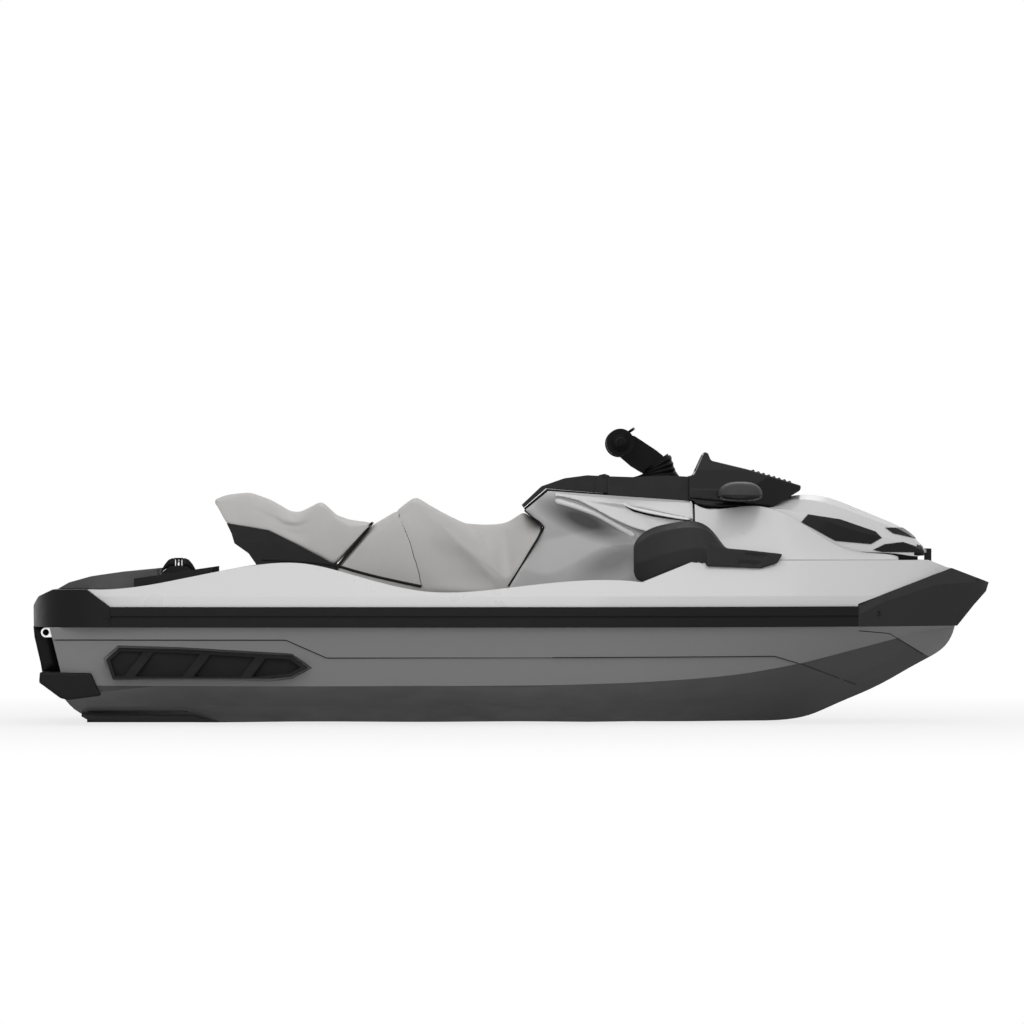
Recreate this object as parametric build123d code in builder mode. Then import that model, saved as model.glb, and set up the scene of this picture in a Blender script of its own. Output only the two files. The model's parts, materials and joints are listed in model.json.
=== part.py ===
"""Three-seat personal watercraft with a water-jet drive, in millimetres.

Frame: +X towards the bow, +Y to port, +Z up. The origin is on the centre plane, at
half the overall length, on the waterline of the empty craft at rest.
"""

import os
from math import cos, radians, sin

from build123d import *

os.makedirs("parts", exist_ok=True)

# Levels above the waterline
BOND_Z = 98  # joint of hull and deck, foot of the rub rail
RAIL_TOP_Z = 170  # top of the rub rail, underside of the deck's flange
WELL_FLOOR_Z = 125  # floor of the footwells
PEDESTAL_Z = 205  # seat and console stand on this
FIT = 0.3  # clearance where two pieces seat on each other
RUN = 6  # clearance round a moving piece

# Table of offsets of the lower hull, from the transom to the stem
HULL_OFFSETS = [
    # x, keel_z, pad_y, chine_y, chine_z, rail_y
    (-1650, -250, 100, 497, -110, 584),
    (-1230, -250, 100, 512, -110, 612),
    (-870, -250, 98, 519, -111, 624),
    (-510, -250, 90, 521, -112, 627),
    (-150, -250, 78, 521, -113, 627),
    (150, -250, 61, 515, -111, 622),
    (380, -250, 46, 497, -103, 606),
    (560, -250, 34, 468, -94, 580),
    (710, -249, 27, 435, -82, 550),
    (850, -248, 22, 396, -66, 514),
    (970, -245, 18, 353, -47, 477),
    (1060, -231, 15, 316, -31, 444),
    (1140, -200, 13, 281, -13, 411),
    (1230, -161, 11, 238, 11, 371),
    (1330, -116, 9, 184, 38, 319),
    (1430, -60, 6, 122, 63, 262),
    (1520, -11, 4, 64, 80, 201),
    (1600, 90, 3, 14, 97, 130),
]
STRAKE_SHARE = 0.45  # place of the lifting strake between keel pad and chine
STRAKE_FLAT = 26  # width of the flats at strake and chine amidships
CHINE_Y_MAX = 521  # chine half-breadth where the flats have their full width
SIDE_STEP = 7  # the hull's side steps in by this much below each of two lines
STEP_DROP = 40  # lowers the bottom of the form that cuts a step, clear of the hull's own
UPPER_LINE = [
    # x, z
    (-1700, 110),
    (700, 110),
    (786, 98),
    (1159, 92),
    (1354, 73),
    (1506, -18),
]
LOWER_LINE = [
    # x, z
    (-1700, 54),
    (-808, 54),
    (-663, -10),
    (943, -10),
    (1040, -47),
    (1290, -141),
]
SHEER_INSET = 16  # hull side lies this far inside the rail's outer face
SHEER_SPARE = 6  # the loft runs past the bond line and is cut back to it

# Rub rail and deck edge, measured in from the rail's outer face
RAIL_DEPTH = 44
RAIL_BOW_X = 1236
RAIL_GROOVE, RAIL_GROOVE_DEPTH = 6, 5
SKIRT_INSET = 60  # deck's skirt inside the rail
FLANGE_INSET = 16  # deck's flange on top of the rail
DECK_CREASE_Z = 208  # crease along the deck's side
DECK_LEAN_BELOW, DECK_LEAN_ABOVE = 0.12, 0.5  # lean for each unit of height
DECK_TOP_MIN = 8  # least half-breadth of the deck's loft at its top
DECK_LOFT_Z = 440  # the deck's loft reaches here before its top is cut

# Jet drive
PUMP_Z = -110
PUMP_FRONT_X = -1150
IMPELLER_R = 80
TIP_GAP = 1.5
HOUSING_WALL = 10
HOUSING_REAR_X = -1350
VENTURI_REAR_X = -1505
VENTURI_EXIT_R = 50
VENTURI_WALL = 7
SHAFT_R = 14
TUNNEL_HALF = 165
TUNNEL_ROOF_Z = 10
TRANSOM_X = -1330
KEEL_BELOW = -300  # below every part of the hull, for cuts
INTAKE_FLAT, INTAKE_LENGTH = 90, 460

# Transom seen from the side, and the pockets in the hull's sides for the sponsons
TRANSOM = [
    # x, z
    (-1650, BOND_Z),
    (-1612, -60),
    (-1612, -150),
    (-1580, -200),
    (-1520, -252),
    (-1520, KEEL_BELOW),
]
SPONSON_POCKET = [
    # x, z
    (-1457, -14),
    (-1406, 33),
    (-1185, 27),
    (-787, 4),
    (-715, -47),
    (-787, -85),
    (-910, -99),
    (-1428, -97),
]
POCKET_Y = 535

ENGINE_LENGTH, ENGINE_WIDTH, ENGINE_HEIGHT = 560, 340, 355
ENGINE_ROUND = 25
ENGINE_REAR_X = -640
ENGINE_FOOT_Z = -175
BAY_GAP = 10

# Deck seen from the side: crest of the gunwale, then ramp and shelf under the bow's panels
CREST = [
    # x, z
    (-1515, 232),
    (-1171, 272),
    (-917, 319),
    (-761, 326),
    (-591, 290),
    (-308, 225),
    (-11, 239),
    (460, 258),
]
SHELF_Z = 335
SHELF_REAR_X = 650
SHELF_FRONT_X = 1500
NOSE_X, NOSE_Z = 1590, 300
CORE_REAR = 200  # the bow bumper's hollow starts this far behind the rail's end
STERN_JOINT_X = -1432  # deck meets the stern bumper here, below the flange
STERN_X = -1725
STERN_TOP_X, STERN_TOP_Z = CREST[0]

WELL_REAR_X, WELL_FRONT_X = -940, 440
WELL_DRAFT = 10
GUNWALE_WIDTH = 115
PEDESTAL_HALF = 205
PEDESTAL_FRONT_HALF = 300
FLARE_X = 150  # the pedestal widens from here
SEAT_MARGIN = 8  # round the flats under seat and console
REAR_SEAT_X = -1040
SEAT_SPLIT_X = -640
REAR_SEAT_Z = 290
CONSOLE_FRONT_X = 640
CONSOLE_HALF = 165

# Front storage tub under the hood
BIN_REAR_X, BIN_FRONT_X = 740, 1270
BIN_REAR_HALF, BIN_FRONT_HALF = 205, 140
BIN_FLOOR_Z = 150
BIN_WALL = 6
BIN_LIP = 20


def save(builder, name):
    """Labels a finished piece and writes its STEP file."""
    builder.part.label = name
    export_step(builder.part, f"parts/{name}.step")


def save_pair(builder, name):
    """Writes a port piece and its mirror image to starboard."""
    save(builder, f"{name}_port")
    with BuildPart() as other:
        mirror(builder.part, about=Plane.XZ)
    save(other, f"{name}_starboard")


def save_twins(builder, name):
    """Writes a port piece and its mirror image as one node of separate solids."""
    with BuildPart() as twins:
        add(builder.part)
        mirror(builder.part, about=Plane.XZ)
    save(twins, name)


def rail_y(x):
    """Half-breadth of the rail's outer face at x, between rows of the table."""
    rows = [(row[0], row[5]) for row in HULL_OFFSETS]
    for (x0, y0), (x1, y1) in zip(rows, rows[1:]):
        if x <= x1:
            break
    return y0 + (y1 - y0) * (x - x0) / (x1 - x0)


def both_sides(half):
    """Closed outline through points of the port half and their mirror images."""
    return [*half, *[(-y, z) for y, z in reversed(half)]]


def hull_half(keel_z, pad_y, chine_y, chine_z, rail, inset, drop):
    """Port half of a hull section: keel pad, strake, chine and sheer, with its side set in."""
    share = chine_y / CHINE_Y_MAX
    flat = STRAKE_FLAT * share
    strake_y = pad_y + STRAKE_SHARE * (chine_y - pad_y)
    strake_z = keel_z + STRAKE_SHARE * (chine_z - keel_z)
    return [
        (pad_y, keel_z - drop),
        (strake_y, strake_z - drop),
        (strake_y + flat, strake_z - drop),
        (chine_y, chine_z - drop),
        (chine_y + flat - inset * share, chine_z - drop),
        (chine_y + flat - inset * share, chine_z),
        (rail - SHEER_INSET - inset * share, BOND_Z + SHEER_SPARE),
    ]


def hull_form(inset, drop):
    """Loft of all hull sections, with the sides set in and the bottom lowered."""
    with BuildPart() as form:
        for x, *offsets in HULL_OFFSETS:
            half = hull_half(*offsets, inset, drop)
            with BuildSketch(Plane.YZ.offset(x)):
                with BuildLine():
                    Polyline(*both_sides(half if drop else half[:5] + half[6:]), close=True)
                make_face()
        loft()
    return form.part


def side_skin(line, inset):
    """What a step takes off the hull's sides below a line."""
    with BuildPart() as skin:
        with BuildSketch(Plane.XZ):
            with BuildLine():
                Polyline(*line, (line[-1][0], KEEL_BELOW), (line[0][0], KEEL_BELOW), close=True)
            make_face()
        extrude(amount=rail_y(0), both=True)
        add(hull_form(inset, STEP_DROP), mode=Mode.SUBTRACT)
    return skin.part


# Lower hull: a vee bottom with strakes and chines, solid but for tunnel, intake and engine bay
with BuildPart() as hull:
    add(hull_form(0, 0))
    add(side_skin(UPPER_LINE, SIDE_STEP), mode=Mode.SUBTRACT)
    add(side_skin(LOWER_LINE, 2 * SIDE_STEP), mode=Mode.SUBTRACT)
    stern_x, bow_x = HULL_OFFSETS[0][0], HULL_OFFSETS[-1][0]
    with BuildSketch(Plane.XZ):
        with BuildLine():
            Polyline(
                *TRANSOM,
                (bow_x, KEEL_BELOW),
                (bow_x, BOND_Z),
                close=True,
            )
        make_face()
    extrude(amount=rail_y(0), both=True, mode=Mode.INTERSECT)
    # shallow pockets for the sponsons
    for side in (-1, 1):
        with BuildSketch(Plane.XZ.offset(side * POCKET_Y)):
            with BuildLine():
                Polyline(*SPONSON_POCKET, close=True)
            make_face()
        extrude(amount=side * rail_y(0), mode=Mode.SUBTRACT)
    # tunnel for the jet pump, open to the stern and below
    with BuildSketch(Plane.XZ):
        with BuildLine():
            Polyline(
                (stern_x, BOND_Z),
                (TRANSOM_X, BOND_Z),
                (TRANSOM_X, TUNNEL_ROOF_Z),
                (PUMP_FRONT_X, TUNNEL_ROOF_Z),
                (PUMP_FRONT_X, KEEL_BELOW),
                (stern_x, KEEL_BELOW),
                close=True,
            )
        make_face()
    extrude(amount=TUNNEL_HALF, both=True, mode=Mode.SUBTRACT)
    # intake: a duct that rises from the keel to the pump's mouth
    with BuildSketch(Plane.XZ):
        with BuildLine():
            Polyline(
                (PUMP_FRONT_X, PUMP_Z + IMPELLER_R),
                (PUMP_FRONT_X + INTAKE_FLAT, PUMP_Z + IMPELLER_R),
                (PUMP_FRONT_X + INTAKE_LENGTH, KEEL_BELOW),
                (PUMP_FRONT_X, KEEL_BELOW),
                close=True,
            )
        make_face()
    extrude(amount=IMPELLER_R, both=True, mode=Mode.SUBTRACT)
    # engine bay, closed above by the deck
    bay_front_x = ENGINE_REAR_X + ENGINE_LENGTH + BAY_GAP
    with BuildSketch(Plane.XY.offset(ENGINE_FOOT_Z)):
        with Locations(((ENGINE_REAR_X - BAY_GAP + bay_front_x) / 2, 0)):
            Rectangle(ENGINE_LENGTH + 2 * BAY_GAP, ENGINE_WIDTH + 2 * BAY_GAP)
    extrude(amount=BOND_Z - ENGINE_FOOT_Z, mode=Mode.SUBTRACT)
    # shaft tube from the duct to the engine bay
    with BuildSketch(Plane.YZ.offset(PUMP_FRONT_X)):
        with Locations((0, PUMP_Z)):
            Circle(SHAFT_R + FIT)
    extrude(amount=ENGINE_REAR_X - PUMP_FRONT_X, mode=Mode.SUBTRACT)
save(hull, "hull")

with BuildPart() as engine:
    with BuildSketch(Plane.XY.offset(ENGINE_FOOT_Z)):
        with Locations((ENGINE_REAR_X + ENGINE_LENGTH / 2, 0)):
            RectangleRounded(ENGINE_LENGTH, ENGINE_WIDTH, ENGINE_ROUND)
    extrude(amount=ENGINE_HEIGHT)
    fillet(engine.faces().sort_by(Axis.Z)[-1].edges(), ENGINE_ROUND)
save(engine, "engine")


def tub_outline(grow):
    """Plan of the storage tub, grown by a margin."""
    rear, front = BIN_REAR_X - grow, BIN_FRONT_X + grow
    rear_half, front_half = BIN_REAR_HALF + grow, BIN_FRONT_HALF + grow
    return [(rear, -rear_half), (rear, rear_half), (front, front_half), (front, -front_half)]


def bow_bumper_zone(grow):
    """Room of the bow bumper round the deck's nose, grown by a clearance."""
    with BuildPart() as zone:
        with BuildSketch(Plane.XZ):
            with BuildLine():
                Polyline(*BOW_BUMPER_SIDE, close=True)
            make_face()
            if grow:
                offset(amount=grow, kind=Kind.INTERSECTION)
        extrude(amount=BOW_BUMPER_HALF, both=True)
        with BuildSketch(Plane.XY):
            with BuildLine():
                Polyline(*both_sides_plan(nose_core(grow)), close=True)
            make_face()
        extrude(amount=DECK_LOFT_Z, mode=Mode.SUBTRACT)
    return zone.part


def both_sides_plan(half):
    """Closed plan outline through points of the port half and their mirror images."""
    return [*half, *[(x, -y) for x, y in reversed(half)]]


def bow_stations(last_x):
    """Stations of the hull's table between the rail's end and a place at the bow."""
    return [row[0] for row in HULL_OFFSETS if RAIL_BOW_X < row[0] < last_x]


def nose_core(inset):
    """Port half of the deck's nose inside the bumper."""
    front_x = NOSE_X - inset
    stations = (RAIL_BOW_X - CORE_REAR, RAIL_BOW_X, *bow_stations(front_x), front_x)
    return [(x, rail_y(x) - SKIRT_INSET - inset) for x in stations]


BOW_BUMPER_HALF = 700
BOW_BUMPER_SIDE = [
    # x, z
    (RAIL_BOW_X, BOND_Z),
    (RAIL_BOW_X, 178),
    (1584, 306),
    (1722, 254),
    (1711, 222),
    (1664, 172),
    (1602, BOND_Z),
]
BOW_TIP = [
    # x, y
    (1600, 150),
    (1680, 92),
    (1722, 40),
]
BOW_EDGE = [
    # x, z of the edge where the bumper's flank folds in
    (RAIL_BOW_X, 140),
    (1330, 186),
    (1430, 217),
    (1520, 245),
    (1600, 251),
    (1680, 256),
]
FOLD_DEPTH, FOLD_RISE = 60, 90

# Plan of the port footwell's floor
WELL = [
    # x, y
    (WELL_REAR_X, PEDESTAL_HALF),
    (WELL_REAR_X, rail_y(WELL_REAR_X) - GUNWALE_WIDTH),
    (0, rail_y(0) - GUNWALE_WIDTH),
    (WELL_FRONT_X, rail_y(WELL_FRONT_X) - GUNWALE_WIDTH),
    (WELL_FRONT_X, PEDESTAL_FRONT_HALF),
    (FLARE_X, PEDESTAL_HALF),
]

# Deck moulding: gunwales, footwells, pedestal, rear deck and bow
with BuildPart() as deck:
    for x, *_, rail in HULL_OFFSETS:
        flange = rail - FLANGE_INSET
        crease = flange - DECK_LEAN_BELOW * (DECK_CREASE_Z - RAIL_TOP_Z)
        top = crease - DECK_LEAN_ABOVE * (DECK_LOFT_Z - DECK_CREASE_Z)
        half = [
            (rail - SKIRT_INSET, BOND_Z),
            (rail - SKIRT_INSET, RAIL_TOP_Z),
            (flange, RAIL_TOP_Z),
            (crease, DECK_CREASE_Z),
            (max(top, DECK_TOP_MIN), DECK_LOFT_Z),
        ]
        with BuildSketch(Plane.YZ.offset(x)):
            with BuildLine():
                Polyline(*both_sides(half), close=True)
            make_face()
    loft()
    with BuildSketch(Plane.XZ):
        with BuildLine():
            Spline(*CREST)
            Polyline(
                CREST[-1],
                (SHELF_REAR_X, SHELF_Z),
                (SHELF_FRONT_X, SHELF_Z),
                (NOSE_X, NOSE_Z),
                (NOSE_X, BOND_Z),
                (STERN_JOINT_X + FIT, BOND_Z),
                (STERN_JOINT_X + FIT, RAIL_TOP_Z),
                CREST[0],
            )
        make_face()
    extrude(amount=rail_y(0), both=True, mode=Mode.INTERSECT)
    # footwells, wider at the top
    with BuildSketch(Plane.XY.offset(WELL_FLOOR_Z)):
        with BuildLine():
            Polyline(*WELL, close=True)
        make_face()
        mirror(about=Plane.XZ)
    extrude(amount=DECK_LOFT_Z - WELL_FLOOR_Z, taper=-WELL_DRAFT, mode=Mode.SUBTRACT)
    # flat seats for rear seat, front seat and console
    with BuildSketch(Plane.XY.offset(REAR_SEAT_Z)):
        with Locations(((REAR_SEAT_X + SEAT_SPLIT_X) / 2, 0)):
            Rectangle(SEAT_SPLIT_X - REAR_SEAT_X, 2 * (PEDESTAL_HALF + SEAT_MARGIN))
    extrude(amount=DECK_LOFT_Z, mode=Mode.SUBTRACT)
    flat_half = [
        (SEAT_SPLIT_X, PEDESTAL_HALF + SEAT_MARGIN),
        (FLARE_X, PEDESTAL_HALF + SEAT_MARGIN),
        (WELL_FRONT_X, PEDESTAL_FRONT_HALF + SEAT_MARGIN),
        (CONSOLE_FRONT_X + FIT, PEDESTAL_FRONT_HALF + SEAT_MARGIN),
    ]
    with BuildSketch(Plane.XY.offset(PEDESTAL_Z)):
        with BuildLine():
            Polyline(*both_sides_plan(flat_half), close=True)
        make_face()
    extrude(amount=DECK_LOFT_Z, mode=Mode.SUBTRACT)
    # room for the engine's top, the storage tub and the bow bumper
    with BuildSketch(Plane.XY.offset(BOND_Z)):
        with Locations((ENGINE_REAR_X + ENGINE_LENGTH / 2, 0)):
            Rectangle(ENGINE_LENGTH + 2 * BAY_GAP, ENGINE_WIDTH + 2 * BAY_GAP)
    extrude(amount=ENGINE_FOOT_Z + ENGINE_HEIGHT + BAY_GAP - BOND_Z, mode=Mode.SUBTRACT)
    with BuildSketch(Plane.XY.offset(BIN_FLOOR_Z - BIN_WALL - FIT)):
        with BuildLine():
            Polyline(*tub_outline(BIN_WALL + FIT), close=True)
        make_face()
    extrude(amount=DECK_LOFT_Z, mode=Mode.SUBTRACT)
    add(bow_bumper_zone(FIT), mode=Mode.SUBTRACT)
save(deck, "deck")

# Rub rails along the gunwales, seated between hull and deck
with BuildPart() as rail:
    middle_x = [row[0] for row in HULL_OFFSETS if STERN_JOINT_X < row[0] < RAIL_BOW_X - FIT]
    rail_x = [STERN_JOINT_X + FIT, *middle_x, RAIL_BOW_X - FIT]
    with BuildSketch(Plane.XY.offset(BOND_Z)):
        with BuildLine():
            outer = Spline(*[(x, rail_y(x)) for x in rail_x])
            inner = Spline(*[(x, rail_y(x) - RAIL_DEPTH) for x in rail_x])
            Line(outer @ 0, inner @ 0)
            Line(outer @ 1, inner @ 1)
        make_face()
    extrude(amount=RAIL_TOP_Z - BOND_Z)
    # groove along the middle of its face
    with BuildSketch(Plane.XY.offset((BOND_Z + RAIL_TOP_Z - RAIL_GROOVE) / 2)):
        with BuildLine():
            outer = Spline(*[(x, rail_y(x) + RAIL_GROOVE_DEPTH) for x in rail_x])
            inner = Spline(*[(x, rail_y(x) - RAIL_GROOVE_DEPTH) for x in rail_x])
            Line(outer @ 0, inner @ 0)
            Line(outer @ 1, inner @ 1)
        make_face()
    extrude(amount=RAIL_GROOVE, mode=Mode.SUBTRACT)
save_pair(rail, "rail")


def bow_fold(plan):
    """Wedge above the bumper's port flank, where its upper face leans in."""
    with BuildPart() as wedge:
        for (x, y), (_, z) in zip(plan, BOW_EDGE):
            with BuildSketch(Plane.YZ.offset(x)):
                with BuildLine():
                    Polyline(
                        (y, z),
                        (y - FOLD_DEPTH, z + FOLD_RISE),
                        (y + FOLD_DEPTH, z + FOLD_RISE),
                        (y + FOLD_DEPTH, z),
                        close=True,
                    )
                make_face()
        loft(ruled=True)
    return wedge.part


# Bow bumper round the deck's nose
with BuildPart() as bow_bumper:
    bow_x = (RAIL_BOW_X, *bow_stations(BOW_TIP[0][0]))
    bow_half = [*[(x, rail_y(x)) for x in bow_x], *BOW_TIP]
    with BuildSketch(Plane.XY):
        with BuildLine():
            nose = Spline(*both_sides_plan(bow_half))
            Line(nose @ 0, nose @ 1)
        make_face()
    extrude(amount=DECK_LOFT_Z)
    add(bow_bumper_zone(0), mode=Mode.INTERSECT)
    fold = bow_fold(bow_half)
    add(fold, mode=Mode.SUBTRACT)
    mirror(fold, about=Plane.XZ, mode=Mode.SUBTRACT)
save(bow_bumper, "bow_bumper")

# Stern bumper, the whole end of the swim platform
STERN_HALF = [
    # x, y
    (STERN_JOINT_X, rail_y(STERN_JOINT_X)),
    (-1560, 582),
    (-1656, 520),
    (-1706, 400),
    (STERN_X, 230),
]
STERN_SIDE = [
    # x, z
    (STERN_JOINT_X, BOND_Z),
    (STERN_JOINT_X, RAIL_TOP_Z),
    (STERN_TOP_X - FIT, STERN_TOP_Z),
    (-1640, STERN_TOP_Z),
    (-1695, 207),
    (STERN_X, 168),
    (-1719, BOND_Z),
]
with BuildPart() as stern_bumper:
    with BuildSketch(Plane.XY):
        with BuildLine():
            tail = Spline(*both_sides_plan(STERN_HALF))
            Line(tail @ 0, tail @ 1)
        make_face()
    extrude(amount=DECK_LOFT_Z)
    with BuildSketch(Plane.XZ):
        with BuildLine():
            Polyline(*STERN_SIDE, close=True)
        make_face()
    extrude(amount=rail_y(0), both=True, mode=Mode.INTERSECT)
save(stern_bumper, "stern_bumper")

# Guards on the lower corners of the transom
GUARD_SIDE = [
    # x, z
    (-1502, -65),
    (-1685, -62),
    (-1688, -99),
    (-1647, -129),
    (-1612, -155),
    (-1584, -162),
    (-1467, -147),
]
GUARD_INNER_Y, GUARD_OUTER_Y = 260, 546
with BuildPart() as guard:
    with BuildSketch(Plane.XZ.offset(-GUARD_INNER_Y)):
        with BuildLine():
            Polyline(*GUARD_SIDE, close=True)
        make_face()
    extrude(amount=GUARD_INNER_Y - GUARD_OUTER_Y)
    add(hull.part, mode=Mode.SUBTRACT)
save_twins(guard, "stern_guards")

# Sponsons in the pockets of the hull's sides
SPONSON_GAP = 8
SPONSON_SECTION = [
    # y, z
    (POCKET_Y + FIT, 30),
    (548, 30),
    (590, -52),
    (592, -84),
    (POCKET_Y + FIT, -97),
]
SPONSON_RIM, SPONSON_FLOOR = 13, 9  # rim round the hollow face, and its floor's thickness
RIB_WIDTH, RIB_LEAN, RIB_HEIGHT = 40, 75, 140
RIB_X = (-1330, -1122, -916)
with BuildPart() as sponson:
    with BuildSketch(Plane.XZ.offset(-POCKET_Y)):
        with BuildLine():
            Polyline(*SPONSON_POCKET, close=True)
        make_face()
        offset(amount=-SPONSON_GAP, kind=Kind.INTERSECTION)
    extrude(amount=-rail_y(0) + POCKET_Y)
    with BuildSketch(Plane.YZ.offset(SPONSON_POCKET[0][0])):
        with BuildLine():
            Polyline(*SPONSON_SECTION, close=True)
        make_face()
    extrude(amount=SPONSON_POCKET[4][0] - SPONSON_POCKET[0][0], mode=Mode.INTERSECT)
    # hollow face, crossed by slanting ribs
    with BuildSketch(Plane.XZ.offset(-POCKET_Y - FIT - SPONSON_FLOOR)):
        with BuildLine():
            Polyline(*SPONSON_POCKET, close=True)
        make_face()
        offset(amount=-SPONSON_GAP - SPONSON_RIM, kind=Kind.INTERSECTION)
        for x in RIB_X:
            with BuildLine():
                Polyline(
                    (x - RIB_LEAN - RIB_WIDTH / 2, SPONSON_SECTION[-1][1] - RIB_HEIGHT / 4),
                    (x - RIB_LEAN + RIB_WIDTH / 2, SPONSON_SECTION[-1][1] - RIB_HEIGHT / 4),
                    (x + RIB_LEAN + RIB_WIDTH / 2, SPONSON_SECTION[0][1] + RIB_HEIGHT / 4),
                    (x + RIB_LEAN - RIB_WIDTH / 2, SPONSON_SECTION[0][1] + RIB_HEIGHT / 4),
                    close=True,
                )
            make_face(mode=Mode.SUBTRACT)
    extrude(amount=-rail_y(0) + POCKET_Y, mode=Mode.SUBTRACT)
save_twins(sponson, "sponsons")

# Non-slip mats: one on the rear deck, one in each footwell
HOOK_X, HOOK_HALF = -1212, 60
HOOK_GAP = 13
REAR_MAT_FRONT_X = HOOK_X - HOOK_HALF - HOOK_GAP
REAR_MAT_TOP = [
    # x, z
    (REAR_MAT_FRONT_X, 304),
    (-1428, 290),
    (-1512, 278),
    (-1590, 256),
    (-1629, STERN_TOP_Z + 2),
]
REAR_MAT_HALF = 370
MAT_THICK = 4
MAT_INSET = 12
with BuildPart() as rear_mat:
    with BuildSketch(Plane.XZ):
        with BuildLine():
            Polyline(
                (REAR_MAT_FRONT_X, RAIL_TOP_Z),
                *REAR_MAT_TOP,
                (REAR_MAT_TOP[-1][0], RAIL_TOP_Z),
                close=True,
            )
        make_face()
    extrude(amount=REAR_MAT_HALF, both=True)
    add(deck.part, mode=Mode.SUBTRACT)
    add(stern_bumper.part, mode=Mode.SUBTRACT)
    with BuildSketch(Plane.XZ):
        with BuildLine():
            Polyline((REAR_MAT_FRONT_X, STERN_TOP_Z), *REAR_MAT_TOP, close=True)
        make_face()
    extrude(amount=REAR_MAT_HALF, both=True, mode=Mode.INTERSECT)
save(rear_mat, "rear_mat")

with BuildPart() as mat:
    with BuildSketch(Plane.XY.offset(WELL_FLOOR_Z)):
        with BuildLine():
            Polyline(*WELL, close=True)
        make_face()
        offset(amount=-MAT_INSET, kind=Kind.INTERSECTION)
    extrude(amount=MAT_THICK)
save_twins(mat, "well_mats")

# Seat: black base under the rear cushion, then the two cushions
SEAT_HALF = 200
SEAT_SECTION = [
    # y, z
    (196, PEDESTAL_Z),
    (200, 300),
    (186, 400),
    (168, 468),
    (128, 540),
    (70, 590),
]
SEAT_BASE_SIDE = [
    # x, z
    (-905, REAR_SEAT_Z + FIT),
    (SEAT_SPLIT_X, REAR_SEAT_Z + FIT),
    (SEAT_SPLIT_X, 312),
    (-772, 388),
    (-881, 442),
    (-1033, 468),
    (-1015, 431),
    (-1004, 395),
    (-953, 359),
]
SEAT_REAR_SIDE = [
    # x, z
    (SEAT_SPLIT_X, 312 + FIT),
    (-772, 388 + FIT),
    (-881, 442 + FIT),
    (-1033, 468 + FIT),
    (-1080, 551),
    (-1030, 572),
    (-953, 580),
    (-880, 552),
    (-808, 510),
    (-772, 508),
    (-700, 544),
    (-645, 497),
    (-591, 479),
    (-511, 468),
]
SEAT_FRONT_SIDE = [
    # x, z
    (SEAT_SPLIT_X + FIT, PEDESTAL_Z + FIT),
    (SEAT_SPLIT_X + FIT, 300),
    (-508, 466),
    (-489, 471),
    (-428, 508),
    (-355, 562),
    (-246, 508),
    (-174, 471),
    (-58, 468),
    (-11, 479),
    (40, 512),
    (110, 453),
    (-17, 243),
    (-36, PEDESTAL_Z + FIT),
]


def seat_block(side):
    """A piece of the seat from its outline in side view, rounded across."""
    with BuildPart() as block:
        with BuildSketch(Plane.XZ):
            with BuildLine():
                Polyline(*side, close=True)
            make_face()
        extrude(amount=SEAT_HALF, both=True)
        with BuildSketch(Plane.YZ):
            with BuildLine():
                Polyline(*both_sides(SEAT_SECTION), close=True)
            make_face()
        extrude(amount=-STERN_X, both=True, mode=Mode.INTERSECT)
    return block


for name, side in (
    ("seat_base", SEAT_BASE_SIDE),
    ("seat_rear", SEAT_REAR_SIDE),
    ("seat_front", SEAT_FRONT_SIDE),
):
    save(seat_block(side), name)

# Console in front of the seat, with knee scoops and the pocket of the glovebox
CONSOLE_TOP_X, CONSOLE_TOP_Z = 127, 584
CONSOLE_SLOPE = 0.07
CONSOLE_SIDE = [
    # x, z
    (-30, PEDESTAL_Z + FIT),
    (-11, 243),
    (116, 453),
    (43, 515),
    (CONSOLE_TOP_X, CONSOLE_TOP_Z),
    (CONSOLE_FRONT_X, CONSOLE_TOP_Z - CONSOLE_SLOPE * (CONSOLE_FRONT_X - CONSOLE_TOP_X)),
    (CONSOLE_FRONT_X, PEDESTAL_Z + FIT),
]
CONSOLE_STATIONS = [
    # x, foot_y, crease_y, crease_z, scoop_y, scoop_z, brow_y, brow_z
    (-60, 196, 195, 300, 180, 400, 158, 520),
    (60, 198, 197, 298, 166, 402, 164, 540),
    (150, 202, 202, 292, 156, 412, 172, 556),
    (250, 232, 228, 345, 168, 432, 184, 534),
    (350, 264, 266, 388, 202, 440, 208, 488),
    (450, 292, 300, 396, 252, 416, 254, 426),
    (545, 294, 301, 394, 258, 414, 260, 424),
    (CONSOLE_FRONT_X, 294, 301, 392, 262, 412, 264, 422),
]
CONSOLE_LOFT_Z = 600  # the console's loft reaches here before its top is cut
GLOVEBOX_REAR_X, GLOVEBOX_FRONT_X = 150, 306
GLOVEBOX_HALF = 86
GLOVEBOX_FLOOR_Z = 465


def console_top(x):
    """Height of the console's top face at x."""
    return CONSOLE_TOP_Z - CONSOLE_SLOPE * (x - CONSOLE_TOP_X)


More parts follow.
